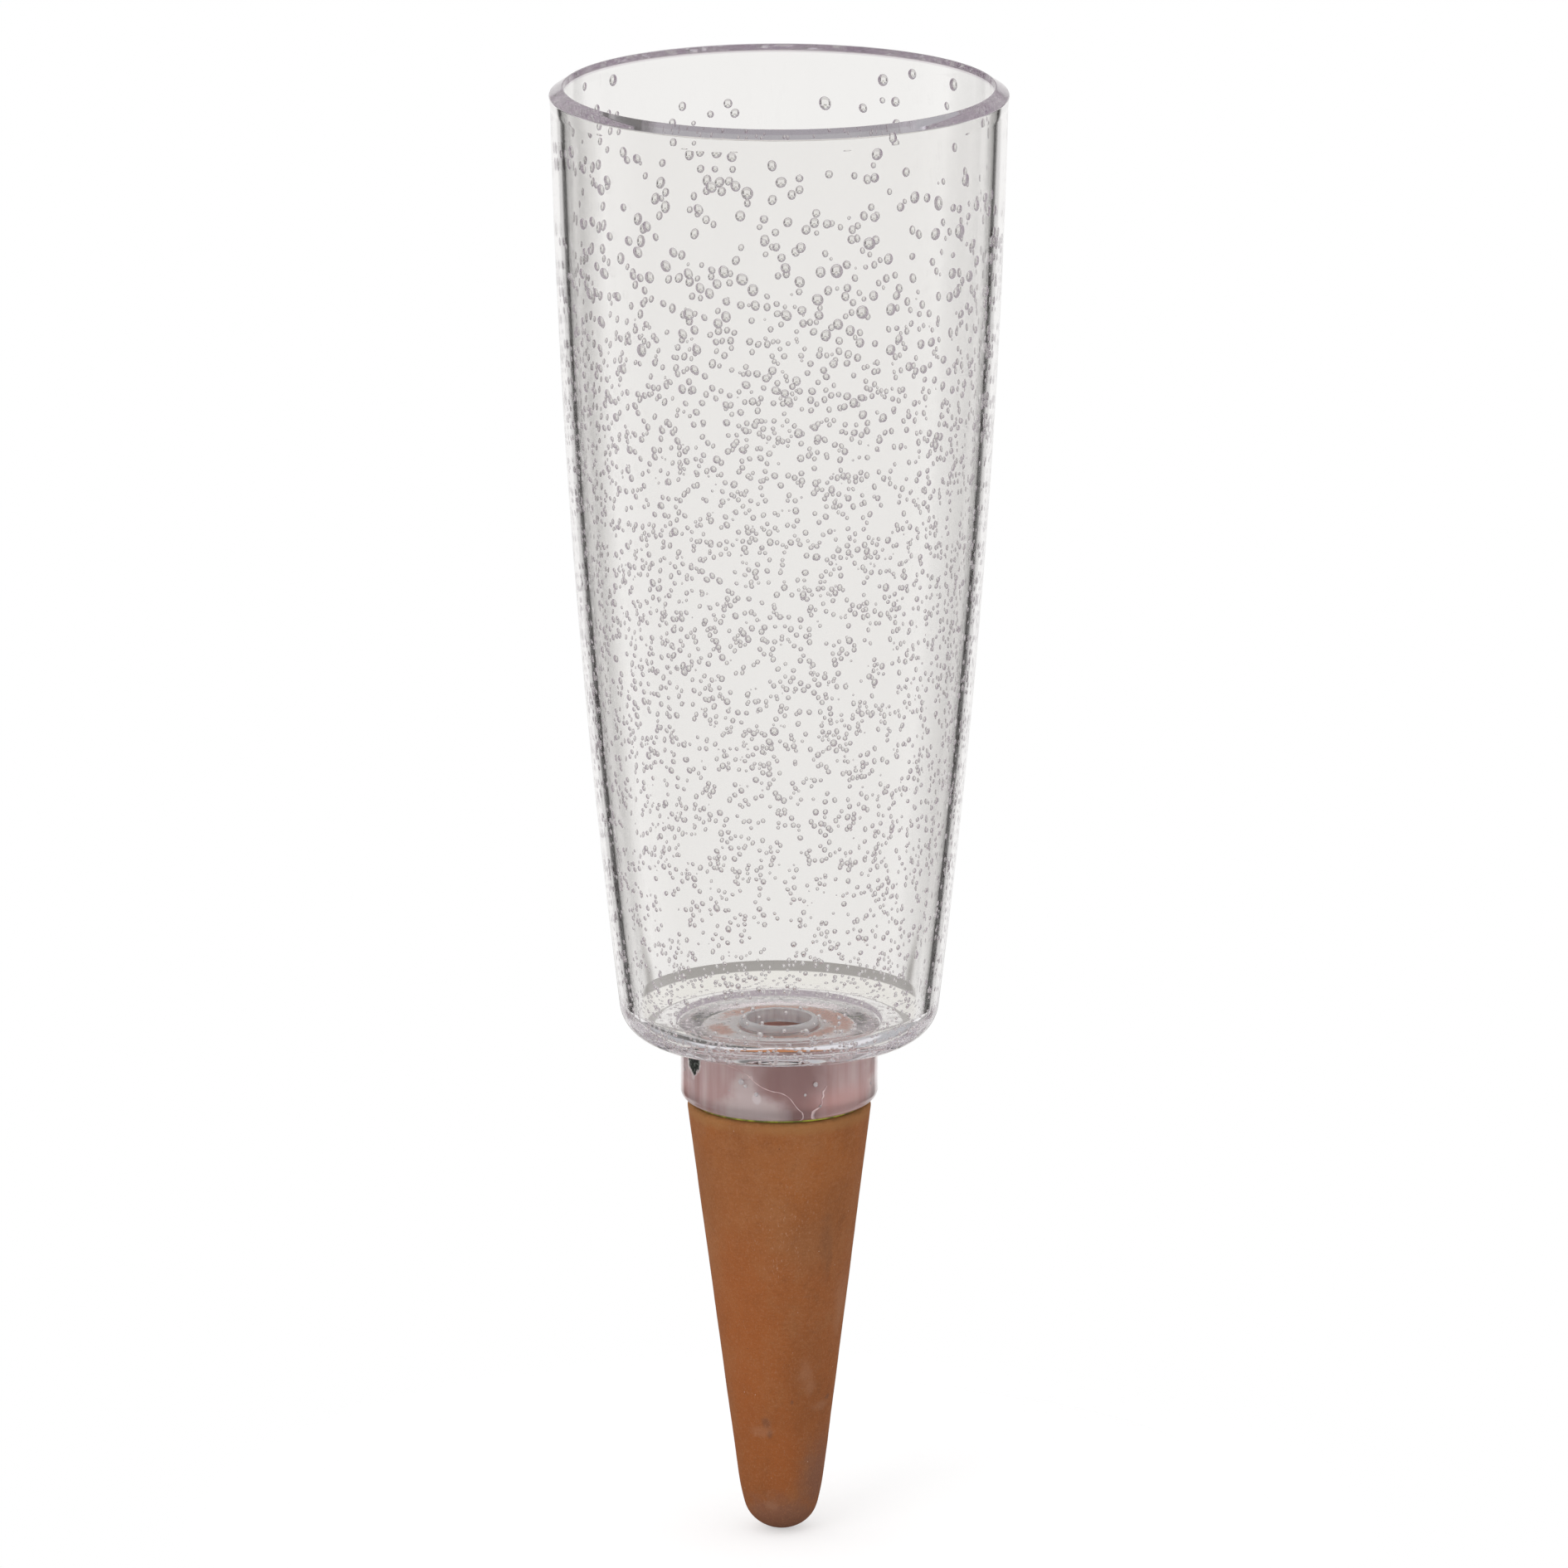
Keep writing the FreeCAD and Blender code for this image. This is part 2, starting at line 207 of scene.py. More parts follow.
def turned(name, points, segments, closed=True, relief=None):
    """Turns an outline once round the axis. Relief moves a point along its normal, and then the normals follow it."""
    vertices, normals, rings = [], [], []
    for place, normal in points:
        on_axis = place.x < SAME_PLACE
        ring = []
        for segment in range(1 if on_axis else segments):
            angle = FULL_TURN * segment / segments
            out = Vector((math.cos(angle), math.sin(angle), 0))
            vertex, way = swung(out, place), swung(out, normal)
            ring.append(len(vertices))
            vertices.append(vertex + way * relief(vertex, way) if relief else vertex)
            normals.append(way)
        rings.append(ring * segments if on_axis else ring)
    pairs = list(zip(rings, rings[1:])) + ([(rings[-1], rings[0])] if closed else [])
    faces = []
    for low, high in pairs:
        for here in range(segments):
            there = (here + 1) % segments
            corners = [low[here], low[there], high[there], high[here]]
            faces.append(list(dict.fromkeys(corners)))
    made = new_object(name, vertices, faces)
    if not relief:
        made.data.normals_split_custom_set_from_vertices(normals)
    return made


# The walls of the cup are two arcs about one far-off centre.
FOOT = Vector((FOOT_RADIUS, UNDERSIDE))
LIP_FOOT = Vector((RIM_RADIUS - LIP_PROUD, LIP_START))
WALL_CENTRE = arc_centre(FOOT, LIP_FOOT, WALL_CURVE_RADIUS)
INNER_CURVE_RADIUS = WALL_CURVE_RADIUS - WALL
INNER_FOOT = on_bow(WALL_CENTRE, INNER_CURVE_RADIUS, FLOOR_TOP)
INNER_RIM = on_bow(WALL_CENTRE, INNER_CURVE_RADIUS, RIM_TOP)


def reservoir_cup():
    """The clear moulding: socket, collar, rounded foot, bowed wall, flared lip, bevelled rim, floor and its hole."""
    corners = [
        (OUTLET_HOLE_RADIUS, SOCKET_ROOF, CRISP_ROUND),
        (SOCKET_RADIUS, SOCKET_ROOF, SOCKET_ROUND),
        (SOCKET_RADIUS, COLLAR_BOTTOM, CRISP_ROUND),
        (COLLAR_RADIUS, COLLAR_BOTTOM, COLLAR_EDGE_ROUND),
        (COLLAR_RADIUS, UNDERSIDE, COLLAR_ROOT_ROUND),
        (*FOOT, FOOT_ROUND),
        *bow(WALL_CENTRE, WALL_CURVE_RADIUS, UNDERSIDE, LIP_START),
        (*LIP_FOOT, LIP_FLARE_ROUND),
        (RIM_RADIUS, LIP_EDGE, LIP_ROUND),
        (INNER_RIM.x + RIM_LAND, RIM_TOP, CRISP_ROUND),
        (*INNER_RIM, CRISP_ROUND),
        *bow(WALL_CENTRE, INNER_CURVE_RADIUS, RIM_TOP, FLOOR_TOP),
        (*INNER_FOOT, FLOOR_ROUND),
        (RECESS_RADIUS, FLOOR_TOP, RECESS_ROUND),
        (RECESS_RADIUS, RECESS_FLOOR, RECESS_ROUND),
        (OUTLET_HOLE_RADIUS, RECESS_FLOOR, CRISP_ROUND),
    ]
    cup = turned("clear_cup", rounded(corners), CUP_SEGMENTS)
    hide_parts("reservoir_cup")
    return cup


def outlet_ring():
    """The milky bush: a low rounded flange on the floor and a thin stem through it."""
    flange = RING_HIGH.x
    corners = [
        (RING_BORE_RADIUS, SOCKET_ROOF, CRISP_ROUND),
        (RING_BORE_RADIUS + RING_WALL, SOCKET_ROOF, CRISP_ROUND),
        (RING_BORE_RADIUS + RING_WALL, RING_SEAT, CRISP_ROUND),
        (flange, RING_SEAT, CRISP_ROUND),
        (flange, RING_HIGH.z, RING_OUTER_ROUND),
        (RING_BORE_RADIUS, RING_HIGH.z, RING_INNER_ROUND),
    ]
    ring = turned("milky_outlet_ring", rounded(corners), RING_SEGMENTS)
    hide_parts("outlet_ring")
    return ring


CLAY_LEAN = 0.38 * MM       # how far the tip leans to the right, as the one photographed does
TIP_FULLNESS = 0.3 * MM
TIP_HEIGHT = 10 * MM
CLAY_WORN = 0.06            # mm that the clay lies back from its true shape, to make room for its unevenness
CLAY_UNEVENNESS = [(90, 0.055, 0), (380, 0.02, 7), (1500, 0.008, 0)]     # waves to the metre, height in mm, shift


def clay_relief(vertex, way):
    """How far fired clay stands off its true shape: a slight lean, a full tip, soft dents and rubbed grain."""
    lean = way.x * CLAY_LEAN * (1 - min(vertex.z / SHOULDER, 1))
    from_tip = vertex.z / TIP_HEIGHT
    full = TIP_FULLNESS * max(0, 4 * from_tip * (1 - from_tip))
    uneven = sum(noise.noise(vertex * waves + Vector((shift, 0, 0))) * height
                 for waves, height, shift in CLAY_UNEVENNESS)
    return (uneven - CLAY_WORN) * MM + lean + full


def clay_cone():
    """The porous cone: ball tip, soft corner, long taper, shoulder, spigot and blind bore."""
    ball_centre = Vector((0, TIP_RADIUS))
    reach = TIP_CORNER - ball_centre
    slope = math.atan2(reach.y, reach.x) - math.acos(TIP_RADIUS / reach.length)
    touch = ball_centre + Vector((math.cos(slope), math.sin(slope))) * TIP_RADIUS
    foot = touch.x - touch.y * (TIP_CORNER.x - touch.x) / (TIP_CORNER.y - touch.y)
    corners = [
        (0, 0, 0),
        (foot, 0, TIP_RADIUS),
        (*TIP_CORNER, TIP_CORNER_ROUND),
        (SHOULDER_RADIUS, SHOULDER, SHOULDER_ROUND),
        (SPIGOT_RADIUS, SHOULDER, SPIGOT_ROUND),
        (SPIGOT_RADIUS, SPIGOT_TOP, SPIGOT_ROUND),
        (BORE_MOUTH_RADIUS, SPIGOT_TOP, SPIGOT_ROUND),
        (BORE_END_RADIUS, TIP_THICKNESS, BORE_END_ROUND),
        (0, TIP_THICKNESS, 0),
    ]
    points = divided(rounded(corners, closed=False), 0.75 * MM)
    clay = turned("clay_body", points, CLAY_SEGMENTS, closed=False, relief=clay_relief)
    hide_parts("clay_cone")
    return clay


BOND_OPENING = BORE_MOUTH_RADIUS + 0.3 * MM


def socket_bond():
    """The cured adhesive: a sleeve round the spigot and a washer under the socket's roof."""
    inside = SPIGOT_RADIUS
    corners = [
        (inside, COLLAR_BOTTOM, CRISP_ROUND),
        (SOCKET_RADIUS + WETTED, COLLAR_BOTTOM, CRISP_ROUND),
        (SOCKET_RADIUS + WETTED, SOCKET_ROOF + WETTED, SOCKET_ROUND),
        (BOND_OPENING, SOCKET_ROOF + WETTED, CRISP_ROUND),
        (BOND_OPENING, SPIGOT_TOP, CRISP_ROUND),
        (inside, SPIGOT_TOP, CRISP_ROUND),
    ]
    bond = turned("cured_bond", rounded(corners), RING_SEGMENTS)
    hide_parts("socket_bond")
    return bond


# Air bubbles in the moulding: height above the tip in mm, bubbles in a square mm of wall, and their usual width in mm
BUBBLES_BY_HEIGHT = [
    (98.5, 0.110, 0.66), (99.3, 0.150, 0.66), (100.5, 0.300, 0.68), (103, 0.250, 0.70), (107, 0.150, 0.74),
    (115, 0.138, 0.80), (125, 0.152, 0.84), (140, 0.168, 0.88), (160, 0.172, 0.92), (200, 0.170, 0.97),
    (212, 0.160, 1.02), (222, 0.138, 1.14), (231, 0.114, 1.30), (241, 0.082, 1.52), (251, 0.054, 1.70),
    (262, 0.032, 1.78), (268, 0.020, 1.80), (276, 0.010, 1.7),
]
BUBBLE_SEED = 20
BUBBLE_SIZE_SPREAD = 0.2
SMALLEST_SHARE = 0.35           # of the usual width, apart from tiny ones
TINY_BUBBLE_SHARE = 0.06
TINY_SIZES = (0.3, 0.55)
CHAIN_SHARE = 0.3               # bubbles that sit close beside an earlier one
CHAIN_REACH = (2.1, 3.4)        # how far from it, in its half widths
CHAIN_DENSEST = 0.182           # where the wall holds as many as this, such a place is always taken
APART = 1.04                    # least distance between two, in their half widths
SEARCH_CELL = 2.4 * MM
TRIES_EACH = 30
FLATTENED = 0.50                # a bubble's thickness through the wall, of its width
FLATTENED_LOW = 0.8             # and the same for those in the foot and the floor
FLATTENED_SPREAD = (0.85, 1.2)
SPARE_LOW = 0.3                 # how much of the wall's thickness the low ones use, of what the others do
TILT, TILT_SPREAD = 0.25, 0.35
LENGTHENED = (1.0, 1.22)
BUBBLE_PATH_INSIDE = 9.6 * MM
BUBBLE_CORNER_ROUND = 5.4 * MM
BUBBLE_MARGIN = 0.15 * MM
BUBBLES_LOW = FLOOR_TOP + 2 * MM
FLOOR_MIDDLE = FLOOR_TOP - 0.8 * MM
RECESS_MIDDLE = RECESS_FLOOR - 0.75 * MM
LARGE_BUBBLE = 0.75 * MM        # half width
SMALL_BUBBLE_BANDS = [105.5, 128, 150, 172, 196]    # heights in mm at which a new band of small ones begins
LARGE_FINENESS = (16, 10)
SMALL_FINENESS = (10, 6)


def by_height(height, column):
    """Reads a column of the bubble table at a height in metres."""
    heights = [row[0] for row in BUBBLES_BY_HEIGHT]
    at = min(max(bisect.bisect(heights, height / MM), 1), len(heights) - 1)
    low, high = BUBBLES_BY_HEIGHT[at - 1], BUBBLES_BY_HEIGHT[at]
    share = min(max((height / MM - low[0]) / (high[0] - low[0]), 0), 1)
    return low[column] + (high[column] - low[column]) * share


def bubble_path():
    """The middle of the plastic, from under the rim down the wall, round the foot and in along the floor."""
    middle_radius = WALL_CURVE_RADIUS - WALL / 2
    top = on_bow(WALL_CENTRE, middle_radius, RIM_TOP - BUBBLE_MARGIN * 12)
    foot = on_bow(WALL_CENTRE, middle_radius, FLOOR_MIDDLE)
    corners = [(*top, 0), *bow(WALL_CENTRE, middle_radius, top.y, FLOOR_MIDDLE),
               (*foot, BUBBLE_CORNER_ROUND), (RECESS_RADIUS + 1.5 * MM, FLOOR_MIDDLE, BUBBLE_MARGIN),
               (RECESS_RADIUS - 0.5 * MM, RECESS_MIDDLE, BUBBLE_MARGIN), (BUBBLE_PATH_INSIDE, RECESS_MIDDLE, 0)]
    return divided(rounded(corners, closed=False), 0.5 * MM)


def scatter_bubbles(draw):
    """Places bubbles as (angle, way along the path, half width, radius) so that none meets another."""
    path = bubble_path()
    lengths = [0.0]
    for (before, _), (here, _) in zip(path, path[1:]):
        lengths.append(lengths[-1] + (here - before).length)
    weights = [by_height(place.y, 1) * place.x for place, _ in path]
    step_length = lengths[-1] / (len(path) - 1)
    total = round(sum(weights) * FULL_TURN * step_length / MM ** 2)
    filled = {}
    placed = []

    def cell_of(angle, along, radius):
        return int(angle * radius / SEARCH_CELL), int(along / SEARCH_CELL)

    def free(angle, along, half, radius):
        column, row = cell_of(angle, along, radius)
        near = itertools.product(range(column - 2, column + 3), range(row - 1, row + 2))
        return all(math.hypot((angle - other_angle) * radius, along - other_along) >= (half + other_half) * APART
                   for cell in near for other_angle, other_along, other_half in filled.get(cell, ()))

    tries = 0
    while len(placed) < total and tries < total * TRIES_EACH:
        tries += 1
        if placed and draw.random() < CHAIN_SHARE:
            angle, along, other_half, radius = placed[draw.randrange(len(placed))]
            reach = other_half * draw.uniform(*CHAIN_REACH)
            way = draw.uniform(0, FULL_TURN)
            angle += reach * math.cos(way) / radius
            along += reach * math.sin(way)
            if not 0 < along < lengths[-1] or not 0 < angle < FULL_TURN:
                continue
            station = min(bisect.bisect(lengths, along), len(path) - 1)
            if draw.random() > by_height(path[station][0].y, 1) / CHAIN_DENSEST:
                continue
        else:
            station = draw.choices(range(len(path)), weights)[0]
            along = lengths[station] + draw.uniform(-0.5, 0.5) * step_length
            angle = draw.uniform(0, FULL_TURN)
        place = path[station][0]
        usual = by_height(place.y, 2) * MM / 2
        half = usual * max(SMALLEST_SHARE, draw.gauss(1, BUBBLE_SIZE_SPREAD))
        if draw.random() < TINY_BUBBLE_SHARE:
            half = usual * draw.uniform(*TINY_SIZES)
        if not free(angle, along, half, place.x):
            continue
        filled.setdefault(cell_of(angle, along, place.x), []).append((angle, along, half))
        placed.append((angle, along, half, place.x))
    return path, lengths, placed


def ball(columns, rows):
    """A unit ball with its faces turned inwards, because a bubble is a hollow in the plastic around it."""
    vertices = [Vector((0, 0, 1))]
    for row in range(1, rows):
        polar = math.pi * row / rows
        for column in range(columns):
            angle = FULL_TURN * column / columns
            vertices.append(Vector((math.sin(polar) * math.cos(angle), math.sin(polar) * math.sin(angle),
                                    math.cos(polar))))
    vertices.append(Vector((0, 0, -1)))
    last = len(vertices) - 1
    faces = []
    for column in range(columns):
        beside = (column + 1) % columns
        faces.append((0, 1 + beside, 1 + column))
        for row in range(rows - 2):
            low, high = 1 + row * columns, 1 + (row + 1) * columns
            faces.append((low + column, low + beside, high + beside, high + column))
        under = 1 + (rows - 2) * columns
        faces.append((last, under + column, under + beside))
    return vertices, faces


def bubble_mesh(name, bubbles, columns, rows):
    """One mesh of many bubbles, each given as a matrix that shapes and places a unit ball."""
    vertices, faces = ball(columns, rows)
    all_vertices, all_faces = [], []
    for matrix in bubbles:
        start = len(all_vertices)
        all_vertices += [matrix @ vertex for vertex in vertices]
        all_faces += [[start + corner for corner in face] for face in faces]
    made = new_object(name, all_vertices, all_faces)
    return made


def air_bubbles():
    """All bubbles of the moulding, in one piece for the large ones and one for each band of the small ones."""
    draw = random.Random(BUBBLE_SEED)
    path, lengths, placed = scatter_bubbles(draw)
    large = []
    bands = [[] for _ in range(len(SMALL_BUBBLE_BANDS) + 1)]
    for angle, along, half, _ in placed:
        station = min(bisect.bisect(lengths, along), len(path) - 1)
        place, normal = path[station]
        out = Vector((math.cos(angle), math.sin(angle), 0))
        through = swung(out, normal)
        across = Vector((-out.y, out.x, 0))
        upright = through.cross(across)
        flattened, share = (FLATTENED, 1) if place.y > BUBBLES_LOW else (FLATTENED_LOW, SPARE_LOW)
        depth = half * flattened * draw.uniform(*FLATTENED_SPREAD)
        spare = max(0, WALL / 2 - BUBBLE_MARGIN - depth) * share
        centre = swung(out, place) + through * draw.uniform(-spare, spare)
        tilt = draw.gauss(TILT, TILT_SPREAD)
        longer = draw.uniform(*LENGTHENED)
        first = across * math.cos(tilt) - upright * math.sin(tilt)
        second = across * math.sin(tilt) + upright * math.cos(tilt)
        turn_in = Matrix((first * half, second * half * longer, through * depth)).transposed().to_4x4()
        matrix = Matrix.Translation(centre) @ turn_in
        group = large if half > LARGE_BUBBLE else bands[bisect.bisect(SMALL_BUBBLE_BANDS, place.y / MM)]
        group.append(matrix)
    return [bubble_mesh("air_bubbles_large", large, *LARGE_FINENESS)] + [
        bubble_mesh(f"air_bubbles_band_{number}", band, *SMALL_FINENESS) for number, band in enumerate(bands)]


# Shader helpers

def add(tree, kind, sockets=None, **settings):
    """Adds a shader node, sets its settings, and gives its input sockets plain values or other nodes' outputs."""
    made = tree.nodes.new(kind)
    for name, setting in settings.items():
        setattr(made, name, setting)
    for name, given in (sockets or {}).items():
        if isinstance(given, bpy.types.NodeSocket):
            tree.links.new(given, made.inputs[name])
        else:
            made.inputs[name].default_value = given
    return made


def calc(tree, operation, *given, clamp=False):
    """A Math node's result."""
    sockets = dict(enumerate(given))
    return add(tree, "ShaderNodeMath", sockets, operation=operation, use_clamp=clamp).outputs[0]


def times(tree, first, second):
    return calc(tree, "MULTIPLY", first, second)


def plus(tree, first, second, clamp=False):
    return calc(tree, "ADD", first, second, clamp=clamp)


def opposite(tree, mask):
    return calc(tree, "SUBTRACT", 1.0, mask)


def rise(tree, value, low, high):
    """A soft step from 0 at low to 1 at high."""
    return add(tree, "ShaderNodeMapRange", {"Value": value, "From Min": low, "From Max": high},
               interpolation_type="SMOOTHSTEP").outputs[0]


def fall(tree, value, low, high):
    """A soft step from 1 at low to 0 at high."""
    return opposite(tree, rise(tree, value, low, high))


def blend(tree, share, first, second):
    """A colour between two others."""
    made = add(tree, "ShaderNodeMix", {0: share}, data_type="RGBA")
    for socket, given in ((made.inputs[6], first), (made.inputs[7], second)):
        if isinstance(given, bpy.types.NodeSocket):
            tree.links.new(given, socket)
        else:
            socket.default_value = (*given, 1)
    return made.outputs[2]


def tinted(tree, colour, tint, mask, strength):
    """A colour with another laid over it where a mask says, at most as strongly as given."""
    return blend(tree, times(tree, mask, strength), colour, tint)


def noise_of(tree, place, scale, detail=2.0, roughness=0.5, stretch=(1, 1, 1), offset=(0, 0, 0)):
    """Smooth noise of a place in mm, from 0 to 1. Scale is in waves to the mm."""
    moved = add(tree, "ShaderNodeMapping", {"Vector": place["Place"], "Location": offset, "Scale": stretch}).outputs[0]
    return add(tree, "ShaderNodeTexNoise", {
        "Vector": moved, "Scale": scale, "Detail": detail, "Roughness": roughness}).outputs[0]


def bumped(tree, height, distance, strength=1.0):
    """A normal for a relief, whose full height is given in metres."""
    return add(tree, "ShaderNodeBump", {"Height": height, "Strength": strength, "Distance": distance}).outputs[0]


def new_group(name, inputs, outputs):
    """A node group with number sockets, except for those named with a type."""
    group = bpy.data.node_groups.new(name, "ShaderNodeTree")
    for way, sockets in (("INPUT", inputs), ("OUTPUT", outputs)):
        for socket in sockets:
            label, kind = socket if isinstance(socket, tuple) else (socket, "NodeSocketFloat")
            group.interface.new_socket(name=label, in_out=way, socket_type=kind)
    given = group.nodes.new("NodeGroupInput").outputs
    taken = group.nodes.new("NodeGroupOutput").inputs
    return group, given, taken


def use_group(tree, group, sockets=None):
    return add(tree, "ShaderNodeGroup", sockets, node_tree=group).outputs


def spike_place_group():
    """Where a point of the spike lies: in mm, its angle from the front, its height and its radius."""
    group, _, taken = new_group("spike_place", [], [("Place", "NodeSocketVector"), "Angle", "Height", "Radius"])
    own = add(group, "ShaderNodeTexCoord").outputs["Object"]
    place = add(group, "ShaderNodeVectorMath", {0: own, 3: 1000.0}, operation="SCALE").outputs[0]
    apart = add(group, "ShaderNodeSeparateXYZ", {0: place}).outputs
    behind = times(group, apart[1], -1.0)
    angle = calc(group, "DEGREES", calc(group, "ARCTAN2", apart[0], behind))
    squares = plus(group, calc(group, "POWER", apart[0], 2.0), calc(group, "POWER", apart[1], 2.0))
    for value, socket in zip((place, angle, apart[2], calc(group, "SQRT", squares)), taken):
        group.links.new(value, socket)
    return group


SPOT_NAMES = ["Centre Angle", "Centre Height", "Half Angle", "Half Height", "Softness", "Raggedness"]


def soft_spot_group():
    """A soft-edged oval on a surface laid out by angle and height, with its edge broken up by a given noise."""
    group, given, taken = new_group("soft_spot", ["Angle", "Height", *SPOT_NAMES, "Noise"], ["Mask"])
    turned_by = calc(group, "SUBTRACT", given["Angle"], given["Centre Angle"])
    across = calc(group, "DIVIDE", calc(group, "WRAP", turned_by, 180.0, -180.0), given["Half Angle"])
    up = calc(group, "DIVIDE", calc(group, "SUBTRACT", given["Height"], given["Centre Height"]),
              given["Half Height"])
    away = calc(group, "SQRT", plus(group, calc(group, "POWER", across, 2.0), calc(group, "POWER", up, 2.0)))
    ragged = times(group, calc(group, "SUBTRACT", given["Noise"], 0.5), given["Raggedness"])
    away = plus(group, away, ragged)
    near = opposite(group, given["Softness"])
    far = plus(group, 1.0, given["Softness"])
    group.links.new(fall(group, away, near, far), taken["Mask"])
    return group


def wavy_streaks_group():
    """Streaks that run up a surface and change slowly round it, as where adhesive or plastic flowed."""
    group, given, taken = new_group("wavy_streaks", [("Place", "NodeSocketVector"), "Width"], ["Streaks"])
    scale = calc(group, "DIVIDE", 1.0, given["Width"])
    broad = noise_of(group, given, scale, 2.0, 0.5, (1, 1, 0.12))
    fine = noise_of(group, given, times(group, scale, 2.6), 2.0, 0.6, (1, 1, 0.06), (3, 7, 0))
    mixed = plus(group, times(group, broad, 0.7), times(group, fine, 0.3))
    group.links.new(rise(group, mixed, 0.35, 0.65), taken["Streaks"])
    return group


SPIKE_PLACE = spike_place_group()
SOFT_SPOT = soft_spot_group()
WAVY_STREAKS = wavy_streaks_group()


def new_material(build):
    """A material named after the function that builds its surface and, if it has one, its volume."""
    made = bpy.data.materials.new(build.__name__)
    made.use_nodes = True
    tree = made.node_tree
    tree.nodes.clear()
    shaders = build(tree, use_group(tree, SPIKE_PLACE))
    sockets = {name: shader.outputs[0] for name, shader in zip(("Surface", "Volume"), shaders)}
    add(tree, "ShaderNodeOutputMaterial", sockets)
    return made


def spots(tree, place, ragged_noise, rows, up="Height"):
    """The union of soft spots, each (centre angle, centre height, half angle, half height, softness, raggedness)."""
    total = None
    for row in rows:
        sockets = {"Angle": place["Angle"], "Height": place[up], "Noise": ragged_noise, **dict(zip(SPOT_NAMES, row))}
        mask = use_group(tree, SOFT_SPOT, sockets)["Mask"]
        total = mask if total is None else calc(tree, "MAXIMUM", total, mask)
    return total


# Materials, each a function of its node tree and of where a point of the spike lies

CLEAR_IOR = 1.49
CLEAR_TINT = (0.957, 0.953, 0.942)


def trapped_air(tree, place):
    """The moulding's clear plastic where it meets a bubble."""
    return [add(tree, "ShaderNodeBsdfPrincipled", {
        "Base Color": (*CLEAR_TINT, 1), "Roughness": 0.0, "IOR": CLEAR_IOR, "Transmission Weight": 1.0})]


def clear_plastic(tree, place):
    """The same, very slightly wavy, rippled and in part frosted in the floor's recess, and with a faint lilac in its
    thick places, and a lilac grey painted on the rim's bevel as painted shade and reflection."""
    shader, = trapped_air(tree, place)
    waves = noise_of(tree, place, 0.16, 1.0, 0.5, (1, 1, 0.3))
    streaks = use_group(tree, WAVY_STREAKS, {"Place": place["Place"], "Width": 2.4})["Streaks"]
    rippled = fall(tree, place["Radius"], 18.6, 19.1)
    rippled = times(tree, rippled, rise(tree, place["Height"], 98.6, 98.9))
    rippled = times(tree, rippled, fall(tree, place["Height"], 101.5, 102.0))
    ripples = noise_of(tree, place, 0.85, 4.0, 0.6, (1, 1, 0.2), (3, 7, 0))
    outer = rise(tree, place["Radius"], 13.8, 14.8)
    frosted = times(tree, outer, plus(tree, 0.12, times(tree, rise(tree, ripples, 0.40, 0.58), 0.40)))
    ripples = times(tree, ripples, plus(tree, 11.0, times(tree, outer, 9.0)))
    height = plus(tree, waves, times(tree, streaks, 0.05))
    height = plus(tree, height, times(tree, rippled, ripples))
    tree.links.new(bumped(tree, height, 0.008 * MM), shader.inputs["Normal"])
    tree.links.new(times(tree, rippled, plus(tree, 0.10, frosted)), shader.inputs["Roughness"])
    # Painted shade and reflection: the rim's bevel is darkened to a lilac grey in its colour.
    bevel_painted_shade = rise(tree, place["Height"], (LIP_EDGE - 0.15 * MM) / MM, (LIP_EDGE + 0.1 * MM) / MM)
    tree.links.new(blend(tree, bevel_painted_shade, CLEAR_TINT, (0.69, 0.64, 0.68)), shader.inputs["Base Color"])
    volume = add(tree, "ShaderNodeVolumeAbsorption", {"Color": (0.77, 0.69, 0.785, 1), "Density": 11.0})
    return [shader, volume]


def milky_plastic(tree, place):
    """The outlet ring: cloudy, satin, with flow streaks in its bore."""
    streaks = use_group(tree, WAVY_STREAKS, {"Place": place["Place"], "Width": 0.9})["Streaks"]
    cloud = noise_of(tree, place, 0.5, 3.0)
    in_bore = fall(tree, place["Radius"], 6.15, 6.5)
    streaked = times(tree, streaks, plus(tree, 0.25, times(tree, in_bore, 0.75)))
    colour = blend(tree, streaked, (0.86, 0.835, 0.85), (0.60, 0.56, 0.58))
    colour = tinted(tree, colour, (0.95, 0.95, 0.96), rise(tree, cloud, 0.4, 0.7), 0.4)
    return [add(tree, "ShaderNodeBsdfPrincipled", {
        "Base Color": colour, "Roughness": 0.22, "IOR": CLEAR_IOR, "Transmission Weight": 0.6,
        "Normal": bumped(tree, cloud, 0.05 * MM)})]


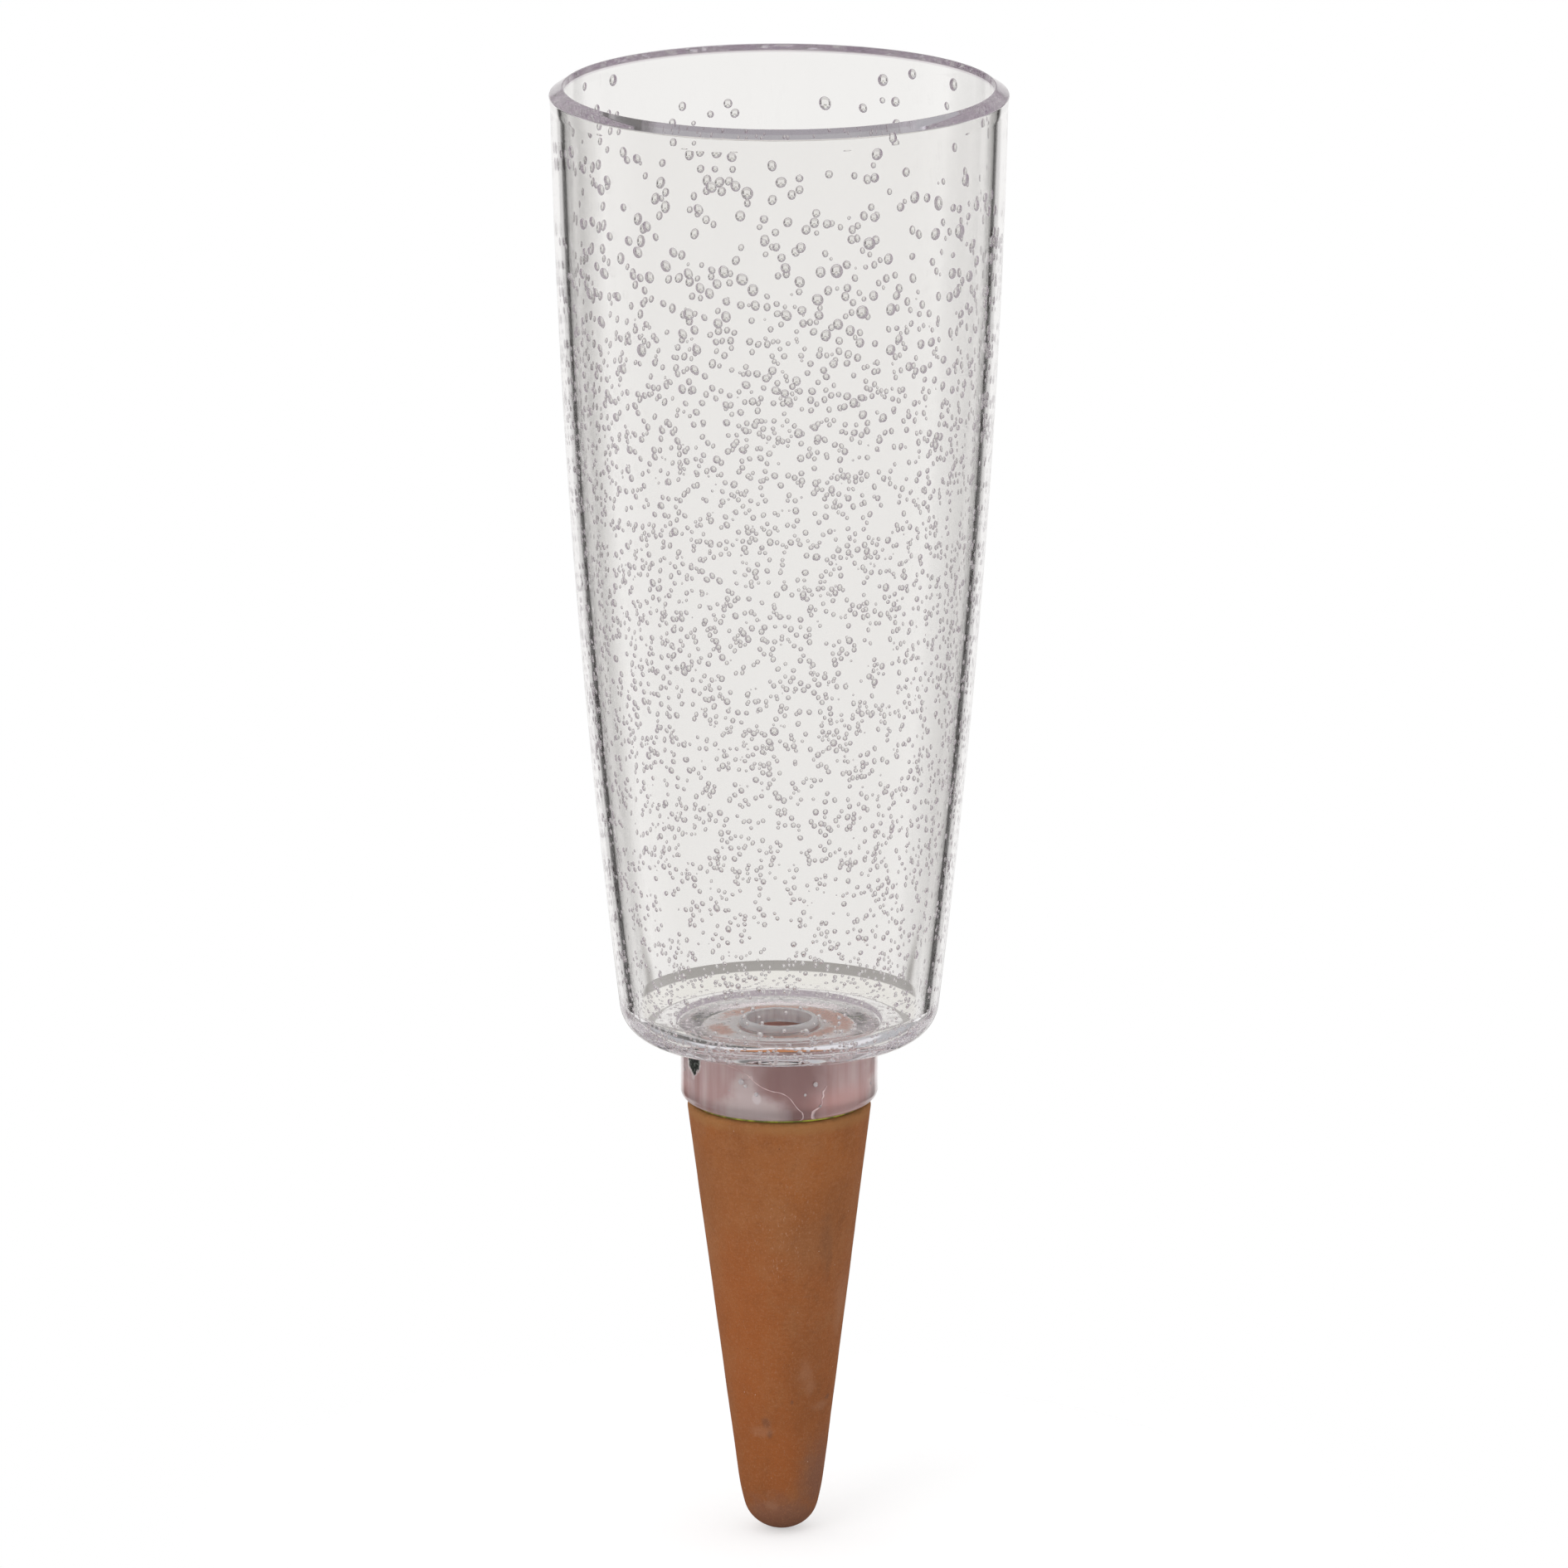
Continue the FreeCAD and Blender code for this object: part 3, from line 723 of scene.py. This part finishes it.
# Places on the clay, the front ones as the photograph shows them: (angle from the front in degrees, height in mm,
# half angle, half height, softness, raggedness), with their colour and how strongly it shows
GROOVE = [(42.5, 56.5, 2.6, 4.6, 0.75, 1.4), (38, 60, 4, 5, 0.8, 1.8)]
CLAY_MARKS = [
    ([(-36, 38, 30, 24, 0.7, 1.1), (4, 16, 20, 9, 0.7, 1.2), (150, 34, 40, 18, 0.7, 1.1)],     # redder
     (0.345, 0.103, 0.029), 0.55),
    ([(26, 62, 20, 8, 0.5, 1.4), (26, 33, 16, 11, 0.6, 1.4), (-62, 70, 20, 8, 0.6, 1.4),       # browner
      (-150, 24, 30, 12, 0.6, 1.4)], (0.225, 0.083, 0.032), 0.30),
    # Painted shade: the groove is also darkened in its colour, for the shade that lies along it.
    (GROOVE, (0.170, 0.070, 0.036), 0.34),
    ([(-15, 23.4, 5, 1.0, 0.6, 1.4), (-11, 21, 3, 0.8, 0.6, 1.4), (61, 27.3, 4, 0.5, 0.5, 1.0),     # smudges
      (13.5, 27.6, 1.6, 0.4, 0.5, 0.8)], (0.150, 0.075, 0.050), 0.5),
    # Painted shade: the tip and the low clay round it darker and greyer, for the shade from below.
    ([(8, 3.0, 78, 4.6, 0.6, 1.3), (58, 11, 26, 7, 0.8, 1.4), (150, 4, 60, 5, 0.7, 1.3)],      # grey of the tip
     (0.205, 0.105, 0.076), 0.62),
    ([(27, 33.2, 7, 2.6, 0.7, 1.9), (33, 30.6, 6, 1.6, 0.7, 1.7), (65, 46.5, 9, 5.0, 0.8, 1.7),     # pale rubs
      (-22, 21.5, 12, 1.0, 0.7, 1.8), (49, 26, 12, 1.0, 0.6, 1.6), (-12, 6.4, 9, 1.3, 0.7, 1.6),
      (160, 60, 22, 9, 0.9, 1.6), (-120, 40, 16, 6, 0.9, 1.8), (130, 26, 14, 4, 0.9, 1.8)],
     (0.40, 0.205, 0.120), 0.32),
]
RUBBED = [(3, 62.5, 20, 8.5, 0.7, 1.2), (-2, 57, 12, 5, 0.8, 1.2), (-140, 55, 24, 12, 0.8, 1.2),
          (110, 68, 18, 8, 0.8, 1.2)]
OCHRE = [(32, 82, 42, 30, 0.6, 0.4), (-70, 82, 34, 30, 0.6, 0.4), (170, 82, 60, 30, 0.6, 0.4)]
# Scale, reach, share of the cells that have one, colour, strength and shift of the pale and the dark grains
CLAY_SPECKS = [(0.42, 0.055, 0.55, (0.58, 0.38, 0.30), 0.75, (0, 0, 0)),
               (0.30, 0.050, 0.45, (0.09, 0.045, 0.03), 0.75, (50, 20, 10))]


def fired_clay(tree, place):
    """Matte orange-brown clay: soft mottling, fine grain, rubbed scuffs, specks, and stains under the seal."""
    broad = noise_of(tree, place, 0.075, 3.0, 0.55, (1, 1, 0.75))
    hue = noise_of(tree, place, 0.05, 3.0, 0.6, (1, 1, 0.8), (31, 12, 5))
    patchy = noise_of(tree, place, 0.22, 4.0, 0.62, (1, 1, 0.7), (5, 40, 9))
    grain = noise_of(tree, place, 2.6, 3.0, 0.65)
    fine = noise_of(tree, place, 6.5, 2.0, 0.6)
    wiped = noise_of(tree, place, 0.9, 3.0, 0.6, (0.35, 0.35, 1.6), (0, 9, 4))
    mottle = noise_of(tree, place, 1.05, 3.0, 0.7, (1, 1, 1.25), (21, 8, 3))

    tan, brown = (0.325, 0.134, 0.053), (0.232, 0.085, 0.031)
    colour = blend(tree, rise(tree, hue, 0.34, 0.62), (0.325, 0.110, 0.032), (0.297, 0.107, 0.036))
    low = fall(tree, plus(tree, place["Height"], times(tree, broad, 24.0)), 62.0, 78.0)
    for mask, tint, strength in (
            (rise(tree, broad, 0.46, 0.68), tan, 0.85),
            (rise(tree, opposite(tree, broad), 0.50, 0.74), brown, 0.85),
            (low, (0.305, 0.094, 0.031), 0.42),
            (rise(tree, patchy, 0.48, 0.68), tan, 0.50),
            (fall(tree, patchy, 0.26, 0.46), brown, 0.55),
            (rise(tree, wiped, 0.50, 0.80), (0.36, 0.165, 0.085), 0.24),
            (rise(tree, mottle, 0.50, 0.72), (0.385, 0.165, 0.075), 0.26),
            (fall(tree, mottle, 0.30, 0.48), (0.19, 0.068, 0.027), 0.30)):
        colour = tinted(tree, colour, tint, mask, strength)

    rag = noise_of(tree, place, 0.45, 4.0, 0.65, (1, 1, 1), (2, 2, 2))
    groove = spots(tree, place, rag, GROOVE)
    for rows, tint, strength in CLAY_MARKS:
        mark = groove if rows is GROOVE else spots(tree, place, rag, rows)
        colour = tinted(tree, colour, tint, mark, strength)

    # Scuffs: short pale scratches, thick in one rubbed area of the front and sparse elsewhere
    scratch = noise_of(tree, place, 1.9, 5.0, 0.78, (1.25, 1.25, 0.6), (17, 3, 11))
    rubbed = spots(tree, place, rag, RUBBED)
    scuffed = times(tree, rise(tree, scratch, 0.58, 0.64), plus(tree, 0.17, times(tree, rubbed, 0.48)))
    colour = blend(tree, scuffed, colour, (0.47, 0.26, 0.165))

    # Specks: rare pale and dark grains
    for scale, reach, share, speck, strength, offset in CLAY_SPECKS:
        moved = add(tree, "ShaderNodeMapping", {"Vector": place["Place"], "Location": offset}).outputs[0]
        cells = add(tree, "ShaderNodeTexVoronoi", {"Vector": moved, "Scale": scale, "Randomness": 1.0}).outputs
        chosen = add(tree, "ShaderNodeSeparateColor", {0: cells["Color"]}).outputs[0]
        dot = fall(tree, cells["Distance"], reach * 0.55, reach)
        dot = times(tree, dot, calc(tree, "LESS_THAN", chosen, share))
        colour = tinted(tree, colour, speck, dot, strength)

    # Grain: fine light and dark
    colour = tinted(tree, colour, (0.43, 0.20, 0.10), rise(tree, grain, 0.50, 0.72), 0.34)
    pits = fall(tree, fine, 0.28, 0.44)
    colour = tinted(tree, colour, (0.155, 0.055, 0.023), pits, 0.50)

    # Under the seal: sealant soaked in, dark olive and then ochre, and the rubbed edge of the shoulder
    edge_wave = times(tree, calc(tree, "SUBTRACT", rag, 0.5), 1.6)
    level = plus(tree, place["Height"], edge_wave)
    ochre_side = plus(tree, 0.30, spots(tree, place, rag, OCHRE), clamp=True)
    ochre = times(tree, rise(tree, level, 81.2, 83.0), ochre_side)
    colour = tinted(tree, colour, (0.335, 0.160, 0.060), ochre, 0.60)
    soaked = rise(tree, level, 83.55, 84.3)
    colour = tinted(tree, colour, (0.105, 0.070, 0.016), soaked, 0.38)

    # Inside the mouth of the bore: the clay painted a bright wet red, painted light that makes it show lit where the
    # hole keeps it in shade
    bore_mouth_painted_light = fall(tree, place["Radius"], 8.4, 9.0)
    bore_mouth_painted_light = times(tree, bore_mouth_painted_light, rise(tree, place["Height"], 93.0, 95.0))
    colour = blend(tree, bore_mouth_painted_light, colour, (0.72, 0.30, 0.23))

    relief = plus(tree, times(tree, grain, 0.5), times(tree, fine, 0.35))
    relief = calc(tree, "SUBTRACT", relief, times(tree, groove, 1.6))
    relief = plus(tree, relief, times(tree, wiped, 0.5))
    roughness = plus(tree, 0.78, times(tree, grain, 0.2))
    return [add(tree, "ShaderNodeBsdfPrincipled", {
        "Base Color": colour, "Roughness": roughness, "Specular IOR Level": 0.12,
        "Normal": bumped(tree, relief, 0.11 * MM, 0.9)})]


# Places on the adhesive's sleeve, laid out as those on the clay are
PALE_MAUVE = (0.48, 0.36, 0.355)
ADHESIVE_MARKS = [
    ([(8, 92.5, 27, 6, 0.6, 0.3), (14, 87, 14, 5, 0.6, 0.3), (-150, 90, 30, 9, 0.7, 0.3)],     # deep mauve
     (0.215, 0.108, 0.102), 0.85),
    ([(52, 86.8, 26, 2.6, 0.8, 0.6), (-95, 87, 14, 3, 0.8, 0.6), (120, 88, 40, 3, 0.8, 0.6)],  # warm
     (0.50, 0.25, 0.225), 0.62),
    ([(62, 93, 17, 9, 0.25, 0.1)], PALE_MAUVE, 0.14),
    ([(-20, 85.6, 25, 3.5, 0.35, 0.6), (-25, 89.6, 9, 4.2, 0.45, 0.7), (-160, 86, 26, 5, 0.4, 0.8),  # unwetted
      (95, 86, 16, 4, 0.4, 0.8)], (0.52, 0.435, 0.430), 0.80),
    ([(-15.8, 88.6, 3.0, 1.1, 0.25, 0.5)], (0.72, 0.69, 0.71), 0.35),       # a blister
]
# And on its washer, by angle and radius
WASHER_ORANGE = [(-170, 11.6, 50, 2.0, 0.4, 1.5), (118, 11.6, 50, 2.6, 0.4, 1.5), (-72, 11.4, 19, 1.9, 0.45, 1.6),
                 (2, 8.6, 34, 0.9, 0.5, 1.4), (55, 9.8, 30, 1.3, 0.5, 1.5)]


def cured_adhesive(tree, place):
    """The adhesive seen through the clear collar: mauve, in soft upright bands, with an unwetted grey zone, a dark
    air pocket and the clay's orange showing round its edge."""
    streaks = use_group(tree, WAVY_STREAKS, {"Place": place["Place"], "Width": 3.2})["Streaks"]
    rag = noise_of(tree, place, 0.55, 3.0, 0.6, (1, 1, 1), (8, 1, 3))
    cloudy = noise_of(tree, place, 0.30, 3.0, 0.55, (1, 1, 0.6), (4, 4, 0))

    side = blend(tree, streaks, (0.385, 0.235, 0.225), PALE_MAUVE)
    for rows, tint, strength in ADHESIVE_MARKS:
        side = tinted(tree, side, tint, spots(tree, place, rag, rows), strength)
    # Painted reflection: silvery white where it's seen only through the floor, round the back and close under the cup,
    # for the light that the plastic mirrors there
    silvery_painted_reflection = calc(tree, "MAXIMUM", spots(tree, place, rag, [(180, 91, 78, 12, 0.4, 0.5)]),
                   rise(tree, place["Height"], 95.0, 96.2))
    side = tinted(tree, side, (0.92, 0.87, 0.885), silvery_painted_reflection, 0.85)
    low_line = rise(tree, place["Height"], 84.95, 85.15)
    side = blend(tree, low_line, (0.78, 0.74, 0.76), side)
    pocket_rim = spots(tree, place, rag, [(-73.5, 93.3, 8.6, 3.1, 0.12, 1.1)])
    side = tinted(tree, side, (0.88, 0.88, 0.87), pocket_rim, 0.6)
    pocket = spots(tree, place, rag, [(-73, 93.4, 7.4, 2.9, 0.12, 1.3)])
    flecks = noise_of(tree, place, 2.2, 2.0, 0.6)
    inside_pocket = blend(tree, rise(tree, flecks, 0.52, 0.68), (0.012, 0.016, 0.012), (0.16, 0.18, 0.16))
    side = blend(tree, pocket, side, inside_pocket)

    # The washer on top, seen through the floor: silvery lilac, mostly painted reflection of the light that its
    # unwetted face mirrors, with the wetted clay's orange round its edge
    waves = noise_of(tree, place, 0.7, 4.0, 0.65, (1, 1, 1), (1, 6, 2))
    top = blend(tree, rise(tree, waves, 0.36, 0.66), (0.84, 0.79, 0.80), (0.97, 0.94, 0.95))
    orange = spots(tree, place, waves, WASHER_ORANGE, up="Radius")
    top = tinted(tree, top, (0.66, 0.27, 0.17), orange, 0.9)
    is_top = rise(tree, place["Height"], 97.55, 97.75)
    inner = fall(tree, place["Radius"], 14.08, 14.16)
    colour = blend(tree, times(tree, is_top, inner), side, top)
    return [add(tree, "ShaderNodeBsdfPrincipled", {
        "Base Color": colour, "Roughness": 0.4, "Specular IOR Level": 0.15,
        "Normal": bumped(tree, cloudy, 0.15 * MM)})]


def adhesive_thread(tree, place):
    """A drawn-out string of adhesive, paler where it is thick."""
    uneven = noise_of(tree, place, 0.9, 2.0)
    colour = blend(tree, rise(tree, uneven, 0.35, 0.65), (0.50, 0.33, 0.33), (0.82, 0.66, 0.66))
    return [add(tree, "ShaderNodeBsdfPrincipled", {
        "Base Color": colour, "Roughness": 0.35, "Specular IOR Level": 0.2})]


def olive_sealant(tree, place):
    """The sealant's line, olive green, lighter yellow-green in patches, partly its own colour and partly a painted
    highlight where it bulged, and darker where it soaked into the clay.
    """
    uneven = noise_of(tree, place, 0.45, 3.0, 0.6, (1, 1, 0.4))
    # Lighter patches: partly the sealant's own yellow-green, partly a painted highlight.
    colour = blend(tree, rise(tree, uneven, 0.38, 0.66), (0.13, 0.14, 0.009), (0.44, 0.46, 0.030))
    return [add(tree, "ShaderNodeBsdfPrincipled", {
        "Base Color": colour, "Roughness": 0.3, "Normal": bumped(tree, uneven, 0.1 * MM, 0.8)})]


# Details on the adhesive, at places read from the photograph as (angle from the front in degrees, height in mm)
THREAD = [(-38, 94.4), (-30, 93.9), (-24, 93.4), (-20, 92.5), (-16, 91.5), (-11, 90.7), (-5, 90.1), (0, 89.95),
          (4, 89.5), (7.5, 88.8), (10, 87.8), (13, 86.6), (17, 85.7), (21, 85.05)]
THREAD_LOOP = [(-28, 94.0), (-25.5, 93.2), (-26.5, 92.2), (-23.5, 92.0), (-21, 92.6), (-19.2, 93.0), (-18.6, 92.2)]
SQUIGGLE = [(34.5, 90.6), (32.8, 89.9), (31.2, 89.4), (32.2, 88.7), (30.2, 88.1), (31.0, 87.3), (28.6, 86.6),
            (25.2, 86.1), (22.6, 85.6)]
COLLAR_BUBBLES = [(-26.4, 91.7, 0.62), (-23.6, 90.9, 0.38), (-15.8, 89.5, 0.42), (25.3, 91.2, 0.50),
                  (18.0, 89.3, 0.30), (29.2, 86.8, 0.26), (-36.5, 89.6, 0.14), (82.0, 88.2, 0.30), (-88, 90.5, 0.3),
                  (140, 91.5, 0.5), (171, 88.6, 0.42), (-128, 90.8, 0.48), (-160, 93.0, 0.34), (112, 93.6, 0.38)]

THREAD_UNEVENNESS = (0.55, 1.25)
THREAD_LIFT = 0.3               # how far its middle stands off the sleeve, of its thickness
COLLAR_BUBBLE_WIDTH, COLLAR_BUBBLE_DEPTH, COLLAR_BUBBLE_LIFT = 0.85, 0.7, 0.85     # of its half height


def on_sleeve(angle, height, out=0.0):
    """A place on the adhesive's outer face, or a little outside it."""
    radius = SOCKET_RADIUS + WETTED + out
    turned_to = math.radians(angle)
    return Vector((math.sin(turned_to) * radius, -math.cos(turned_to) * radius, height * MM))


def drawn_thread(name, places, thickness):
    """A string of adhesive lying against the sleeve: a smooth curve with a round section, made into a mesh."""
    curve = bpy.data.curves.new(name + "_line", "CURVE")
    curve.dimensions = "3D"
    curve.bevel_depth = thickness / 2
    curve.bevel_resolution = 2
    curve.resolution_u = 8
    curve.use_fill_caps = True
    spline = curve.splines.new("NURBS")
    spline.points.add(len(places) - 1)
    draw = random.Random(name)
    for spot, (angle, height) in zip(spline.points, places):
        spot.co = (*on_sleeve(angle, height, thickness * THREAD_LIFT), 1)
        spot.radius = draw.uniform(*THREAD_UNEVENNESS)
    spline.order_u = 3
    spline.use_endpoint_u = True
    line = placed_object(name + "_line", curve)
    mesh = bpy.data.meshes.new_from_object(line.evaluated_get(bpy.context.evaluated_depsgraph_get()))
    bpy.data.objects.remove(line)
    bpy.data.curves.remove(curve)
    mesh.name = name
    mesh.shade_smooth()
    made = placed_object(name, mesh)
    return made


def collar_bubbles():
    """The few bubbles between the adhesive and the collar, flattened against the sleeve."""
    found = []
    for angle, height, half in COLLAR_BUBBLES:
        turned_to = math.radians(angle)
        out = Vector((math.sin(turned_to), -math.cos(turned_to), 0))
        across = Vector((math.cos(turned_to), math.sin(turned_to), 0))
        up = Vector((0, 0, 1))
        half *= MM
        shape = Matrix((across * half * COLLAR_BUBBLE_WIDTH, up * half, out * half * COLLAR_BUBBLE_DEPTH))
        place = on_sleeve(angle, height, half * COLLAR_BUBBLE_LIFT)
        found.append(Matrix.Translation(place) @ shape.transposed().to_4x4())
    return bubble_mesh("collar_bubbles", found, *LARGE_FINENESS)


# Floor: a small pale round on which the tip stands, fading out into the background
STAGE_RADIUS = 120 * MM
STAGE_RINGS = 24
STAGE_SEGMENTS = 96
STAGE_DROP = 0.15 * MM
STAGE_FADE = (60.0, 118.0)      # mm from the axis
STAGE_GLOW = 0.49               # brightens it to the photograph's white, without lighting anything


def pale_floor(tree, place):
    """Matte, as bright to the camera as the photograph's background, and clear towards its edge."""
    pale = noise_of(tree, place, 0.02, 2.0)
    colour = blend(tree, pale, (0.60, 0.60, 0.60), (0.63, 0.63, 0.635))
    matte = add(tree, "ShaderNodeBsdfDiffuse", {"Color": colour})
    seen = add(tree, "ShaderNodeLightPath").outputs["Is Camera Ray"]
    glow = add(tree, "ShaderNodeEmission", {"Color": (1, 1, 1, 1), "Strength": times(tree, seen, STAGE_GLOW)})
    both = add(tree, "ShaderNodeAddShader", {0: matte.outputs[0], 1: glow.outputs[0]})
    clear = add(tree, "ShaderNodeBsdfTransparent")
    fade = rise(tree, place["Radius"], *STAGE_FADE)
    return [add(tree, "ShaderNodeMixShader", {0: fade, 1: both.outputs[0], 2: clear.outputs[0]})]


def studio_floor():
    points = [(Vector((STAGE_RADIUS * ring / STAGE_RINGS, -STAGE_DROP)), Vector((0, 1)))
              for ring in range(STAGE_RINGS, -1, -1)]
    floor = turned("studio_floor", points, STAGE_SEGMENTS, closed=False)
    floor.data.materials.append(new_material(pale_floor))
    # The plastic shows the table instead, which is darker than the round is under the spike.
    floor.visible_glossy = False
    floor.visible_transmission = False


# Studio: what the clear plastic shows and mirrors. Azimuth 0 is behind the spike as photographed.
PANEL_NAMES = ["Centre", "Half Width", "Low", "High", "Side Softness", "Edge Softness"]


def light_panel_group():
    """A soft-edged panel of the studio, by azimuth and elevation in degrees."""
    group, given, taken = new_group("light_panel", ["Azimuth", "Elevation", *PANEL_NAMES], ["Mask"])
    around = calc(group, "SUBTRACT", given["Azimuth"], given["Centre"])
    away = calc(group, "ABSOLUTE", calc(group, "WRAP", around, 180.0, -180.0))
    beyond = calc(group, "SUBTRACT", away, given["Half Width"])
    inside = fall(group, beyond, times(group, given["Side Softness"], -1.0), given["Side Softness"])
    above = calc(group, "SUBTRACT", given["Elevation"], given["Low"])
    under = calc(group, "SUBTRACT", given["High"], given["Elevation"])
    back = times(group, given["Edge Softness"], -1.0)
    for gap in (above, under):
        inside = times(group, inside, rise(group, gap, back, given["Edge Softness"]))
    group.links.new(inside, taken["Mask"])
    return group


STUDIO_GREY = (0.36, 0.35, 0.345)
# Centre, half width, lowest and highest edge, softness of the sides and of the edges, colour
STUDIO_PANELS = [
    (0, 200, -95, -34, 1, 4, (0.50, 0.505, 0.53)),       # table
    (0, 58, -95, -50, 6, 2, (0.84, 0.835, 0.875)),       # and its lighter middle
    (0, 200, 11, 95, 1, 3, (0.78, 0.77, 0.76)),          # ceiling
    (0, 29, -25, 8, 4, 2, (0.955, 0.95, 0.942)),         # white panel behind the spike
    (0, 10, -21.3, -16.1, 1.5, 0.15, (0.38, 0.365, 0.35)),  # the gap between that panel and the table
    (0, 10, -42, -21.3, 4, 0.4, (0.93, 0.92, 0.88)),     # the table's lit far end
    *[(side * 37, 7, -26, 4, 2.5, 1, (0.02, 0.019, 0.016)) for side in (1, -1)],    # black flags beside the panel
    *[(side * 45, 17, -32, -21.3, 3, 0.8, (1.0, 1.0, 1.0)) for side in (1, -1)],
    (90, 18, -31, 7, 3, 2, (0.65, 0.65, 0.65)),
    (-90, 18, -31, 7, 3, 2, (0.95, 0.95, 0.95)),
    (-60, 12, -20, 3, 4, 3, (0.10, 0.095, 0.09)),        # dark side, which shades the left of each bubble
    (-72, 38, -82, -33, 8, 3, (0.14, 0.135, 0.13)),
    (58, 12, -15, 60, 4, 4, (0.85, 0.845, 0.84)),        # light side, to the right
    *[(side * 135, 18, -23, -7.5, 3, 1, (1.0, 1.0, 1.0)) for side in (1, -1)],
]
FRONT_PANEL = (180, 18, -30, 7, 3, 2)
FRONT_SEEN_THROUGH = (0.75, 0.75, 0.75)
BEHIND_CAMERA = (180, 84, -60, 60, 14, 8)
MIRRORED = (0.58, 0.575, 0.57)         # what the walls mirror of the side from which the photograph was taken
PLAIN_LIGHT = (0.85, 0.85, 0.85)
PLAIN_LIGHT_INSIDE = (1.75, 1.75, 1.75)  # makes up for the light that the plastic keeps from the matte pieces in it


def studio():
    world = bpy.data.worlds.new("studio")
    bpy.context.scene.world = world
    world.use_nodes = True
    tree = world.node_tree
    tree.nodes.clear()
    group = light_panel_group()
    way = add(tree, "ShaderNodeSeparateXYZ", {0: add(tree, "ShaderNodeTexCoord").outputs["Generated"]}).outputs
    azimuth = calc(tree, "DEGREES", calc(tree, "ARCTAN2", way[0], way[1]))
    elevation = calc(tree, "DEGREES", calc(tree, "ARCSINE", way[2]))
    path = add(tree, "ShaderNodeLightPath").outputs

    def panel(numbers):
        sockets = {"Azimuth": azimuth, "Elevation": elevation, **dict(zip(PANEL_NAMES, numbers))}
        return use_group(tree, group, sockets)["Mask"]

    colour = STUDIO_GREY
    for *numbers, tone in STUDIO_PANELS:
        colour = blend(tree, panel(numbers), colour, tone)
    colour = blend(tree, panel(FRONT_PANEL), colour, FRONT_SEEN_THROUGH)
    was_mirrored = calc(tree, "GREATER_THAN", path["Glossy Depth"], 0.5)
    colour = blend(tree, times(tree, panel(BEHIND_CAMERA), was_mirrored), colour, MIRRORED)
    through_plastic = plus(tree, path["Is Glossy Ray"], path["Is Transmission Ray"], clamp=True)
    # Light that falls on the matte pieces is plain, also where it comes through the plastic.
    seen_first = calc(tree, "LESS_THAN", path["Diffuse Depth"], 0.5)
    through_plastic = times(tree, through_plastic, seen_first)
    inside = calc(tree, "GREATER_THAN", path["Transmission Depth"], 0.5)
    colour = blend(tree, through_plastic, blend(tree, inside, PLAIN_LIGHT, PLAIN_LIGHT_INSIDE), colour)
    colour = blend(tree, path["Is Camera Ray"], colour, (1, 1, 1))
    background = add(tree, "ShaderNodeBackground", {"Color": colour, "Strength": 1.0})
    add(tree, "ShaderNodeOutputWorld", {"Surface": background.outputs[0]})


LAMP_PLACE = Vector((-1.1, -1.45, 1.0))
LAMP_TARGET = Vector((0, 0, 0.1))
LAMP_SIDE = 1.1
LAMP_WATTS = 9.0


def soft_lamp():
    """One large soft lamp from the front left, which the clear plastic doesn't mirror."""
    lamp = bpy.data.lights.new("soft_lamp", "AREA")
    lamp.shape = "RECTANGLE"
    lamp.size = lamp.size_y = LAMP_SIDE
    lamp.energy = LAMP_WATTS
    made = placed_object("soft_lamp", lamp)
    made.location = LAMP_PLACE
    made.rotation_euler = (LAMP_TARGET - LAMP_PLACE).to_track_quat("-Z", "Y").to_euler()
    made.visible_glossy = False
    made.visible_transmission = False
    made.visible_camera = False


cup = reservoir_cup()
ring = outlet_ring()
clay = clay_cone()
bond = socket_bond()
bubbles = air_bubbles()
bond_bubbles = collar_bubbles()
threads = [drawn_thread("adhesive_thread", THREAD, 0.14 * MM),
           drawn_thread("adhesive_loop", THREAD_LOOP, 0.10 * MM),
           drawn_thread("adhesive_squiggle", SQUIGGLE, 0.34 * MM)]
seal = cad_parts["shoulder_seal"]

seal.data.materials.clear()
# The collar's bubbles take the milky plastic, whose whitish colour is a painted highlight for the glints of their air.
for build, pieces in ((clear_plastic, [cup]), (trapped_air, bubbles), (milky_plastic, [ring, bond_bubbles]),
                      (fired_clay, [clay]), (cured_adhesive, [bond]), (adhesive_thread, threads),
                      (olive_sealant, [seal])):
    material = new_material(build)
    for piece in pieces:
        piece.data.materials.append(material)
for piece in [cup, ring, clay, bond, bond_bubbles, *bubbles, *threads]:
    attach(piece, "root")

studio_floor()
studio()
soft_lamp()

# Camera: the photograph's own viewing angle
CAMERA_PLACE = (0.9 * MM, -2.3109, 0.74435)
CAMERA_PITCH = math.radians(14.53)
CAMERA_LENS = 293.33        # mm
CAMERA_REACH = 20
camera_data = bpy.data.cameras.new("camera")
camera_data.lens = CAMERA_LENS
camera_data.clip_end = CAMERA_REACH
camera = placed_object("camera", camera_data)
camera.location = CAMERA_PLACE
camera.rotation_euler = (math.pi / 2 - CAMERA_PITCH, 0, 0)
bpy.context.scene.camera = camera

LONGEST_PATH = 110          # light runs far along inside the clear walls
scene = bpy.context.scene
scene.view_settings.view_transform = "Standard"
for kind in ("max_bounces", "transmission_bounces", "glossy_bounces"):
    setattr(scene.cycles, kind, LONGEST_PATH)
